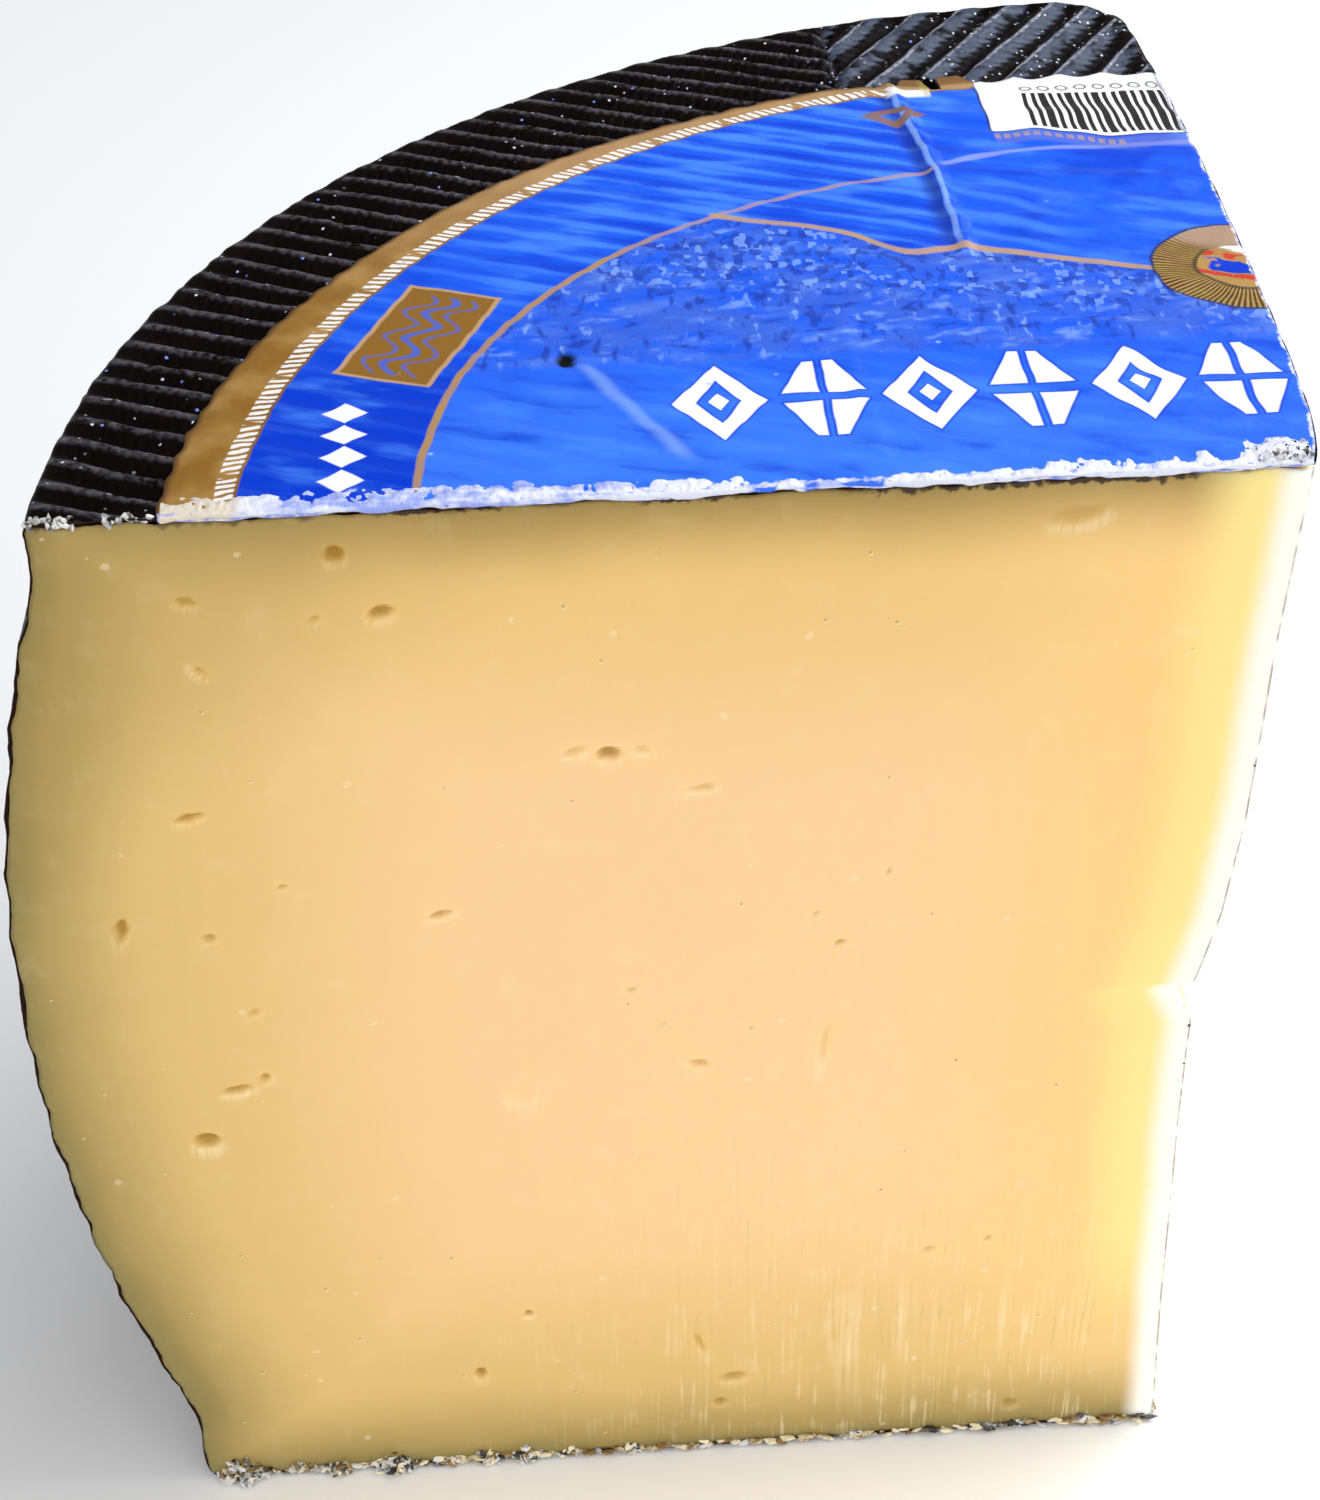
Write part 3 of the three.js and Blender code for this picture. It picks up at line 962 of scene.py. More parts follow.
@dataclass(frozen=True)
class RindFinish:
    """Black rind with a waxy shine, brown where it is cut, with pale crest lines, a painted slate sheen on
    the right-hand strands, painted shade in its grooves and in the film's tear, and white specks that are
    partly painted sparkle.

    Attributes:
        crest_share: where the crest line runs, as a share of the strands' pitch.
        gap: x and y of the painted shade on the rind in the film's tear.
    """

    black: str = "0d0706"
    slate: str = "4b5468"
    groove: str = "040303"
    brown: str = "2e1c12"
    crest: str = "a3a2ad"
    dust_and_sparkle: str = "eef0fb"
    glint: str = "86a6ff"
    crest_share: float = 0.68
    gap: Pair = (-16.7, 70.6)

    def material(self) -> Material:
        """Builds the material.

        Returns:
            The material.
        """
        g = Graph("rind")
        patch = g.noise(5.0, 3.0)
        fine = g.noise(0.6, 3.0)
        right = g.attribute("right")
        share = g.attribute("strand").fraction()
        g.skin = g.blend(patch.step(0.1, 0.8) * 0.35, self.black, self.brown)
        teeth = g.attribute("finger")
        ragged = share + patch * 0.10 - teeth * 0.22
        # Painted sheen: slate on the gentle faces of the right-hand strands, where the wax mirrors the bright
        # surround, broken up by noise.
        leaf = ragged.step(0.16, 0.30) * share.step(0.78, 0.71) * right
        broken = g.noise(2.6, 3.0)
        leaf = leaf * broken.step(-0.34, 0.06) * (fine * 0.4 + 0.85)
        g.paint(leaf, self.slate)
        bare = -(teeth * (right * 0.7 + 0.3)) + 1.0
        # Painted shade: the cross grooves of the fibres are painted near black.
        g.paint(teeth * (right * 0.13 + 0.85), self.groove)
        wide = (share - self.crest_share + fine * 0.03).size()
        left = (-right + 1.0) * (g.z.step(104.0, 100.0) * 0.35 + 0.32)
        line = wide.step(0.07, 0.02) * right * 0.9 + wide.step(0.26, 0.02) * left * 0.75
        line = line * (fine + patch * 0.5).step(-0.5, 0.3)
        tick = wide.step(0.05, 0.02) * (g.noise(1.4, 2.0) + fine * 0.4).step(0.28, 0.45) * (-right + 1.0)
        g.paint(line + tick * 0.7, self.crest)
        # Painted shade: the rind in the film's tear is painted near black.
        slot = (g.x - self.gap[0]).size().step(1.2, 0.9) * (g.y - self.gap[1]).size().step(2.6, 2.1)
        g.paint(slot, self.groove)
        # White specks, partly real specks and partly painted sparkle, with more on the right-hand strands;
        # some are painted as blue-white glints.
        spot, chance = g.cells(0.75)
        lucky = chance + right * 0.34 - g.z.step(104.0, 98.0) * 0.1
        dust_and_sparkle = (spot + fine * 0.03).step(0.18, 0.07) * lucky.step(0.83, 0.87)
        g.paint(dust_and_sparkle * 0.9, g.blend(chance.step(0.93, 0.95), self.dust_and_sparkle, self.glint))
        cut = g.attribute("cut")
        g.paint(cut * 0.85, self.brown)
        grain = fine * 0.6 + g.noise(0.2, 2.0) * 0.4
        return g.finish(
            Roughness=(patch * 0.08 + cut * 0.3 + right * 0.02 + 0.38),
            Normal=g.bump(grain, 0.09, 0.8),
            IOR=1.5,
            Specular_IOR_Level=((leaf * 0.22 + 0.04) * bare * (-slot + 1.0) + line * 0.15),
        )


@dataclass(frozen=True)
class FilmFinish:
    """Glossy film with a generic print in blues, gold and white, and painted highlights, glints and shade on
    its ripples, creases and folds.

    Attributes:
        ring_centre: middle of the thin gold ring.
        crease_x: where the main crease runs.
        motif_y: how far the white band's middle is from the first cut.
        panel: middle of the gold panel; panel_half is half its length and width.
        bars_from: left end of the striped panel's bars.
        band_inner: inner radius of the gold band at the first cut.
    """

    deep: str = "003acd"
    middle: str = "195cec"
    light: str = "4789f8"
    pale: str = "9cc3ff"
    slate: str = "3f66d4"
    dark: str = "20389c"
    gold: str = "8e6628"
    bright_gold: str = "b28c50"
    pink_gold: str = "bd9a74"
    bronze: str = "6b4522"
    lavender: str = "a9b4f0"
    olive: str = "a8a03c"
    grey: str = "6a76c4"
    white: str = "f6f7fa"
    ink: str = "2e2a2c"
    red: str = "c8402e"
    black: str = "0c0b0e"
    ring_centre: Pair = (-13.0, 0.8)
    ring_radius: float = 50.4
    ring_line: float = 0.3
    crease_x: float = -19.0
    motif_pitch: float = 7.9
    motif_y: float = 12.2
    motif_from: float = -45.0
    column_x: float = -68.9
    column_pitch: float = 3.3
    panel: Pair = (-63.6, 25.0)
    panel_half: Pair = (7.7, 4.0)
    panel_face: Pair = (7.3, 3.6)
    panel_wave: Pair = (6.4, 2.9)
    panel_turn: float = 68.0
    stripes_left: float = -12.5
    bars_from: float = -8.9
    bar_pitch: float = 0.84
    link_pitch: float = 1.7
    mark: Pair = (-21.0, 63.2)
    rosette: Pair = (3.2, 30.5)
    rosette_radius: float = 7.5
    rosette_core: float = 3.9
    flutes: float = 96.0
    band_inner: float = 72.3
    tick_pitch: float = 0.82

    def material(self) -> Material:
        """Builds the material.

        Returns:
            The material.
        """
        g = Graph("film")
        wobble = g.noise(5.0, 1.0) * 0.25
        # The print wavers a little
        g.x, g.y = g.x + wobble, g.y + wobble
        lower = (self._ground, self._engraving, self._lines)
        upper = (self._motifs, self._panels, self._rosette, self._band)
        for layer in lower + upper:
            layer(g)
        g.paint(g.attribute("hole"), self.black)
        worn = g.noise(1.1, 3.0) * 0.7 + g.noise(0.4, 2.0) * 0.4
        frayed = (worn + g.attribute("torn") * 1.6).step(0.7, 1.1)
        g.paint(frayed * 0.8, g.blend(worn.step(-0.2, 0.3), self.lavender, self.white))
        glint, chance = g.cells(2.6)
        g.paint(glint.step(0.3, 0.08) * chance.step(0.93, 0.96) * 0.8, self.pale)
        grain = g.noise(0.9, 2.0)
        return g.finish(
            Roughness=(frayed * 0.3 + 0.32),
            Normal=g.bump(grain, 0.05, 0.5),
            IOR=1.5,
            Specular_IOR_Level=0.11,
            Coat_Weight=0.03,
            Coat_Roughness=0.2,
        )

    def _from(self, x: Value, y: Value, middle: Pair) -> Value:
        """Distance from a point in plan.

        Args:
            x: along the first cut.
            y: away from it.
            middle: x and y of the point.

        Returns:
            Distance.
        """
        dx, dy = x - middle[0], y - middle[1]
        return (dx * dx + dy * dy).power(0.5)

    def _ground(self, g: Graph) -> None:
        """Blues of the bare film, with painted highlights and shade along the strands beneath and along the
        creases.

        Args:
            g: the film's nodes.
        """
        x, y = g.x, g.y
        ring = self._from(x, y, self.ring_centre)
        soft = g.noise(9.0, 2.0) * 5.0
        outside = ring.step(self.ring_radius - 0.6, self.ring_radius + 0.6)
        at = g.vector(x * 0.10 - y * 0.03, y * 0.32 + x * 0.11, 0.0)
        clouds = g.noise(1.0, 3.0, at)
        g.skin = g.blend((y + soft).step(26.0, 4.0) * 0.55, self.middle, self.light)
        g.paint((x + y * 0.3).step(-24.0, 0.0) * 0.45, self.middle)
        g.paint(outside * (y + soft).step(30.0, 16.0), self.deep)
        g.paint(clouds.step(0.0, 0.4) * (y.step(20.0, 45.0) * 0.2 + 0.6), self.light)
        g.paint(clouds.step(-0.05, -0.45) * 0.7, self.deep)
        pool = g.noise(6.5, 2.0)
        beyond = x.step(-20.0, -17.0) * y.step(30.0, 34.0) * y.step(58.0, 55.0)
        g.paint(pool.step(0.05, 0.4) * beyond * 0.7, self.deep)
        g.paint(pool.step(-0.1, -0.5) * beyond * 0.4, self.light)
        # Painted highlights on the crests of the film's ripples over the strands, and painted shade in their
        # hollows.
        drape = g.attribute("drape") * (beyond * -0.55 + 1.0) + beyond * 0.28 + clouds * 0.55
        ripple_shading_strength = y.step(20.0, 34.0) * x.step(-17.0, -20.0) * (x.step(-64.0, -44.0) * 0.4 + 0.25) + 0.1
        g.paint(drape.step(0.6, 0.95) * ripple_shading_strength, self.light)
        g.paint(drape.step(0.38, 0.0) * ripple_shading_strength * 0.8, self.deep)
        # Painted highlights along the arcs of the film's folds right of the crease.
        arcs = (y + ((x - self.crease_x) * 0.62).least(6.0) - 45.6 + soft * 0.15) / 3.9
        ripple = (arcs.fraction() - 0.5).size().step(0.30, 0.05) * x.step(-19.0, -17.0) * x.step(-6.0, -13.0)
        ripple = ripple * y.step(33.0, 35.0) * y.step(51.0, 48.0)
        g.paint(ripple * 0.6, self.light)
        # Painted shade on the left side of the main crease and a painted highlight along its right side.
        fold = x + g.math("MAXIMUM", y - 50.0, 0.0) * 0.085 + 19.3
        crease_shading_span = y.step(34.0, 39.0) * y.step(74.0, 70.0)
        g.paint(fold.step(-1.9, -0.4) * fold.step(0.1, -0.1) * crease_shading_span * 0.7, self.dark)
        g.paint((fold - 0.3).size().step(0.35, 0.1) * crease_shading_span * 0.6, self.pale)
        # Painted highlight along the bow crease below the hole.
        bow = (x + y * 0.474 + 42.1 + clouds * 0.5).size()
        g.paint(bow.step(1.1, 0.1) * y.step(3.0, 6.0) * y.step(19.6, 18.0) * 0.4, self.pale)

    def _skyline(self, g: Graph, x: Value) -> Value:
        """Course of the gold line above the engraved field.

        Args:
            g: the film's nodes.
            x: along the first cut.

        Returns:
            How far the line is from the first cut.
        """
        dip = ((x + 23.6) / 3.2).power(2.0)
        return (x + 38.4) * -0.384 + 43.9 - g.math("POWER", math.e, -dip) * 2.3

    def _engraving(self, g: Graph) -> None:
        """Field of hatched strokes in several blues.

        Args:
            g: the film's nodes.
        """
        x, y = g.x, g.y
        below = (y - self._skyline(g, x)).step(0.3, -0.3)
        inside = self._from(x, y, self.ring_centre).step(self.ring_radius + 0.3, self.ring_radius - 0.3)
        field_edge = g.noise(6.0, 1.0) * 1.5
        above = (y + field_edge).step(18.0, 20.0)
        upper = (y + x * 0.2 + field_edge).step(21.5, 24.0)
        blot = g.noise(4.0, 2.0)
        at = g.vector(x * 0.36 + y * 0.05, y * 0.60 - x * 0.08, 0.0)
        strokes = g.noise(1.0, 4.0, at)
        pillars = g.noise(1.0, 3.0, g.vector(x * 0.9, y * 0.3, 3.0))
        small = g.vector(x + strokes * 0.3, y * 0.62 + blot * 0.2, 0.0)
        _, window = g.cells(0.55, small, "CHEBYCHEV")
        field = g.blend((blot + strokes * 0.4).step(-0.4, 0.3) * 0.9, self.middle, self.slate)
        smear = g.noise(1.0, 3.0, g.vector(x * 0.15, y * 0.34, 7.0))
        field = g.blend(smear.step(0.0, 0.45) * 0.25, field, self.pale)
        field = g.blend((strokes - blot * 0.3).step(0.12, 0.5) * 0.5, field, self.pale)
        field = g.blend(window.step(0.14, 0.09) * upper * 0.5, field, self.pale)
        field = g.blend(window.step(0.74, 0.8) * upper * 0.7, field, self.dark)
        field = g.blend(pillars.step(0.12, 0.34) * (-upper + 1.0) * 0.8, field, self.dark)
        field = g.blend(pillars.step(-0.2, -0.42) * (-upper + 1.0) * 0.6, field, self.pale)
        field = g.blend(strokes.step(-0.14, -0.40) * 0.85, field, self.dark)
        g.paint(below * inside * above * 0.85, field)

    def _lines(self, g: Graph) -> None:
        """Thin gold lines: a ring and the line above the engraved field, and a painted highlight along a
        fold.

        Args:
            g: the film's nodes.
        """
        x, y = g.x, g.y
        ring = (self._from(x, y, self.ring_centre) - self.ring_radius).size()
        fade = g.noise(3.0, 3.0) * 0.3 + 0.9
        ring = ring.step(self.ring_line + 0.12, self.ring_line - 0.1) * x.step(-18.6, -19.4)
        back = x.step(-50.0, -40.0)
        gold = g.blend(back, self.bright_gold, self.pink_gold)
        g.paint(ring * fade * (back * -0.35 + 1.0), gold)
        line = (y - self._skyline(g, x)).size().step(0.6, 0.3)
        g.paint(line * x.step(-39.6, -38.8) * x.step(-3.6, -4.0) * fade, self.pink_gold)
        # Painted highlight: a faded lavender line along a fold right of the crease.
        fold = (y - ((x - self.crease_x) * 0.25).least(2.4) - 52.6).size()
        g.paint(fold.step(0.6, 0.2) * x.step(-19.0, -17.5) * fade * 0.6, self.lavender)

    def _motifs(self, g: Graph) -> None:
        """White band of lozenges and leaves, and a small column of the same.

        Args:
            g: the film's nodes.
        """
        x, y = g.x, g.y
        unit = (x - self.motif_from) / self.motif_pitch
        local = (unit.fraction() - 0.5) * self.motif_pitch
        odd = (unit * 0.5).fraction().step(0.49, 0.51)
        across = y - self.motif_y
        lozenge = (local.size() / 3.3 + across.size() / 5.7 - 0.8).size() + across.size() * 0.018 - 0.28
        heart = local.size() / 0.8 + across.size() / 1.3 - 1.0
        leaf = (local.size() - (across.size() * -0.42 + 3.5)) * 0.3
        leaf = leaf.most((-across.size() + 0.7) * 0.3).most((-local.size() + 0.35) * 0.3)
        leaf = leaf.most((across.size() - 5.6) * 0.3)
        shape = lozenge.least(heart * 0.5) * (-odd + 1.0) + leaf * odd
        inside = x.step(self.motif_from - 0.4, self.motif_from)
        g.paint(shape.step(0.10, 0.03) * inside * 0.75, self.deep)
        g.paint(shape.step(0.03, -0.03) * inside, self.white)
        spot = (((y - 1.6) / self.column_pitch).fraction() - 0.5) * self.column_pitch
        mark = (spot.size() + (x - self.column_x).size() * 0.9 - 1.5).step(0.12, -0.12)
        mark = mark * y.step(1.5, 1.7) * y.step(14.9, 14.7)
        g.paint(mark, self.white)

    def _box(self, x: Value, y: Value, half: Pair) -> Value:
        """Rectangle that lies as the gold panel does.

        Args:
            x: along the first cut.
            y: away from it.
            half: half its length and half its width.

        Returns:
            1 inside the rectangle, 0 outside.
        """
        turn = math.radians(self.panel_turn)
        c, s = math.cos(turn), math.sin(turn)
        dx, dy = x - self.panel[0], y - self.panel[1]
        along, across = dx * c + dy * s, dy * c - dx * s
        return (along.size() - half[0]).most(across.size() - half[1]).step(0.1, -0.1)

    def _panels(self, g: Graph) -> None:
        """Gold panel, white striped panel, dashes and a small gold mark.

        Args:
            g: the film's nodes.
        """
        x, y = g.x, g.y
        g.paint(self._box(x, y, self.panel_half), self.pink_gold)
        g.paint(self._box(x, y, self.panel_face), self.gold)
        inner = self._box(x, y, self.panel_wave)
        wave = ((x * 0.37 + y * 0.93) * 1.5).sine() * 0.9
        arc = ((x * 0.93 - y * 0.37 + 68.4) - wave).size()
        g.paint(inner * arc.step(0.45, 0.3) * 0.8, self.slate)
        g.paint(inner * (arc - 1.7).size().step(0.3, 0.15) * 0.6, self.slate)
        left = x - self.stripes_left
        low = (x * 1.2).sine() * 0.15 - x.step(-9.0, -2.0) * 2.3 + 59.3
        border = (y - low).step(-0.3, -0.2) * left.step(-0.3, -0.2)
        panel = (y - low).step(-0.08, 0.08) * left.step(-0.1, 0.1)
        g.paint(border * 0.7, self.ink)
        g.paint(panel, self.white)
        from_first = x - self.bars_from
        place = from_first / self.bar_pitch
        thick = (place.whole() / 3.0).fraction().step(0.5, 0.6) * 0.18 + 0.24
        bars = ((place.fraction() - 0.5).size() - thick).step(0.05, -0.05)
        bars = bars * (y - low).step(0.55, 0.7) * (y + x * 0.03).step(66.9, 66.7) * from_first.step(-0.1, 0.1)
        g.paint(bars, self.ink)
        ring_x = ((from_first / self.link_pitch).fraction() - 0.5) * self.link_pitch
        ring_y = (y - 68.3) / 1.3
        marks = ((ring_x * ring_x + ring_y * ring_y).power(0.5) - 0.5).size().step(0.16, 0.07)
        g.paint(marks * from_first.step(-0.1, 0.1) * 0.75, self.ink)
        trim = (g.attribute("near_cut") - 0.45).size().step(0.2, 0.1)
        g.paint(panel * trim * 0.6, self.ink)
        strip = (y - low + 1.5).size().step(1.5, 0.7) * left.step(-0.1, 0.1) * 0.55
        g.paint(strip, self.grey)
        dashes = ((x + 12.0) / 0.9).fraction().step(0.3, 0.4) * (y - low + 1.2).size().step(0.5, 0.35)
        g.paint(dashes * left.step(-0.1, 0.1) * x.step(-1.0, -1.5) * 0.6, self.pink_gold)
        far = ((x - self.mark[0]).size() * 0.7 + (y - self.mark[1]).size() - 1.5).size()
        g.paint(far.step(0.75, 0.55) * 0.85, self.gold)

    def _rosette(self, g: Graph) -> None:
        """Fluted gold rosette that the second cut runs through.

        Args:
            g: the film's nodes.
        """
        x, y = g.x, g.y
        dx, dy = x - self.rosette[0], y - self.rosette[1]
        smear = g.noise(1.6, 2.0) * 0.8
        far = self._from(x, y, self.rosette) + smear * 0.25
        turn = g.math("ARCTAN2", dy, dx)
        flutes = (turn * self.flutes + far * 0.5).sine()
        rim = g.blend(flutes.step(-0.2, 0.6), self.bronze, self.bright_gold)
        rim = g.blend(smear.step(-0.3, 0.5) * 0.5, rim, self.olive)
        rim = g.blend(flutes.step(-0.1, -0.9) * 0.75, rim, self.ink)
        rim = g.blend((far - 4.0).size().step(0.3, 0.1) * 0.6, rim, self.ink)
        smooth_top = (dy + dx * 0.8 + smear).step(0.5, 3.5)
        rim = g.blend(smooth_top * 0.85, rim, self.bright_gold)
        rim = g.blend(smooth_top * 0.15, rim, self.lavender)
        tilt = dx * 0.5 + dy + smear
        inner = (dx * 0.4 + smear * 1.5 + 1.0).step(-0.1, 0.1)
        core = g.blend((tilt + 0.6).size().step(1.2, 1.0) * inner, self.bright_gold, self.deep)
        core = g.blend((tilt - 1.4).size().step(0.6, 0.4) * smear.step(-0.1, 0.1), core, self.red)
        core = g.blend((tilt + 2.5).size().step(0.6, 0.4) * smear.step(0.2, 0.0), core, self.red)
        core = g.blend((tilt - 2.6).step(-0.4, 0.2) * dx.step(-1.6, -0.8), core, self.white)
        g.paint(far.step(self.rosette_radius + 0.3, self.rosette_radius + 0.1) * 0.8, self.ink)
        g.paint(far.step(self.rosette_radius, self.rosette_radius - 0.15), rim)
        g.paint(far.step(self.rosette_core, self.rosette_core - 0.15), core)

    def _band(self, g: Graph) -> None:
        """Gold band at the rim with a ring of white ticks.

        Args:
            g: the film's nodes.
        """
        x, y = g.x, g.y
        far = self._from(x, y, FILM_CENTRE)
        turn = g.math("ARCTAN2", y - FILM_CENTRE[1], -x + FILM_CENTRE[0])
        run = turn * 73.0
        bulge = x.step(-22.4, -20.6) * x.step(-12.0, -13.4)
        inner = turn.step(0.5, 1.2) * 0.7 + self.band_inner - bulge * 0.7
        outer = -self._narrowing(turn) + FILM_RADIUS
        left_of_panel = (x - self.stripes_left).step(0.1, -0.1)
        tone = g.noise(4.0, 2.0)
        band = g.blend(tone.step(-0.4, 0.6), self.gold, self.bright_gold)
        band = g.blend(y.step(30.0, 60.0) * 0.55, band, self.pink_gold)
        shadow = (far - outer + tone * 0.15).step(-0.8, 0.0)
        band = g.blend(shadow * 0.75, band, self.bronze)
        band = g.blend((far - inner - 0.2).size().step(0.3, 0.1) * 0.5, band, self.bronze)
        g.paint((far - inner).step(0.0, 0.15) * left_of_panel, band)
        flap = x.step(-21.4, -20.6) * x.step(-16.9, -17.1) * y.step(67.0, 67.6)
        foot = (far - inner - 1.0 - g.noise(1.2, 2.0) * 1.2).step(0.4, -0.4)
        g.paint(flap * foot, self.white)
        g.paint(flap * x.step(-18.0, -17.4) * tone.step(-0.4, 0.4) * 0.7, self.olive)
        beat = ((run + (far - 73.2) * 0.35) / self.tick_pitch).fraction()
        group = (run / (self.tick_pitch * 9.0)).fraction().step(0.06, 0.08)
        rows = (far - inner - 1.0).size().step(0.75, 0.6) * x.step(-20.0, -20.6)
        uneven = g.noise(0.8, 1.0) * 0.2
        ticks = (beat - 0.5 + uneven).size().step(0.34, 0.22) * rows * group
        g.paint(ticks * 0.9, self.white)

    def _narrowing(self, turn: Value) -> Value:
        """How much smaller than a full round the film's rim is.

        Args:
            turn: angle round the film's middle from the first cut, in radians.

        Returns:
            Difference.
        """
        first, *others = (turn.step(low, high) * depth for low, high, depth in FILM_NARROWING)
        return sum(others, first)


@dataclass(frozen=True)
class CrumbFinish:
    """Crumbs of paste and torn rind."""

    name: str
    dark: str
    light: str
    roughness: float = 0.4

    def material(self) -> Material:
        """Builds the material.

        Returns:
            The material.
        """
        g = Graph(self.name)
        tone = g.attribute("tone")
        patch = g.noise(0.8, 3.0)
        share = (tone + patch * 0.6).step(0.15, 0.85)
        g.skin = g.blend(share, self.dark, self.light)
        grain = g.noise(0.3, 2.0)
        g.paint(grain.step(0.2, 0.5) * 0.6, WHITE)
        g.paint(grain.step(-0.2, -0.5) * 0.6, self.dark)
        return g.finish(Roughness=self.roughness, Specular_IOR_Level=0.5)


@dataclass(frozen=True)
class FringeFinish:
    """White stretched film along the tear, with dark specks; its white is partly a painted highlight on the
    bent edge, and its lavender is painted shade in the folds.
    """

    white: str = "e2e6f5"
    fold: str = "8298ee"
    speck: str = "3a3050"
    beige: str = "dccaa8"
    blue: str = "2f6ef0"

    def material(self) -> Material:
        """Builds the material.

        Returns:
            The material.
        """
        g = Graph("film_fringe")
        crumpled = g.noise(1.3, 3.0)
        fine = g.noise(0.45, 3.0)
        left = g.x.step(-76.0, -72.0) * g.x.step(-46.0, -50.0)
        smooth_fold = g.noise(1.0, 2.0, g.vector(g.x * 0.25, g.y * 0.9, g.z * 0.5))
        fold_shading = crumpled * (left * -0.6 + 1.0) + fine * 0.3 + smooth_fold * left + left * 0.4
        # Painted shade: lavender in the folds of the white film, more on the left, where the white is partly
        # a painted highlight.
        g.skin = g.blend(fold_shading.step(0.1, 0.7) * 0.85, self.white, self.fold)
        dark = (fine + g.x.step(-12.0, 0.0) * 0.22).step(0.42, 0.55)
        g.paint(dark * 0.8, self.speck)
        g.paint((g.x + crumpled).step(-75.0, -77.0) * 0.7, self.beige)
        patch = (g.x + 37.0).size().step(1.2, 0.8).most((g.x + 34.2).size().step(1.1, 0.6) * 0.5)
        plain = (g.x + fine).step(-40.2, -39.4) * (g.x + fine).step(-29.8, -30.6) * (-patch + 1.0)
        g.paint(plain, self.blue)
        return g.finish(Roughness=0.45, Normal=g.bump(fine, 0.12, 0.7), Specular_IOR_Level=0.4)


@dataclass(frozen=True)
class FloorFinish:
    """Plain pale studio floor."""

    tint: str = "fbfbfb"

    def material(self) -> Material:
        """Builds the material.

        Returns:
            The material.
        """
        g = Graph("floor")
        tone = g.noise(400.0, 1.0)
        g.skin = g.blend(tone.step(-1.0, 1.0) * 0.1, self.tint, WHITE)
        return g.finish(Roughness=0.8, Specular_IOR_Level=0.2)


# Pieces


@dataclass(frozen=True)
class Eye:
    """An eye, slit or shallow dimple in the first cut.

    Attributes:
        x: place along the cut.
        z: height.
        wide: width.
        high: height of the hollow.
        tilt: turn in degrees, counter-clockwise as it is looked at.
        depth: depth as a share of the full eye depth.
        tint: how dark it shows, from 0 to 1; this is partly the hollow's amber colour and partly painted
            shade.
        lip: how strong the painted highlight below the hollow is, from 0 to 1.
    """

    x: float
    z: float
    wide: float
    high: float
    tilt: float
    depth: float
    tint: float
    lip: float = 0.4


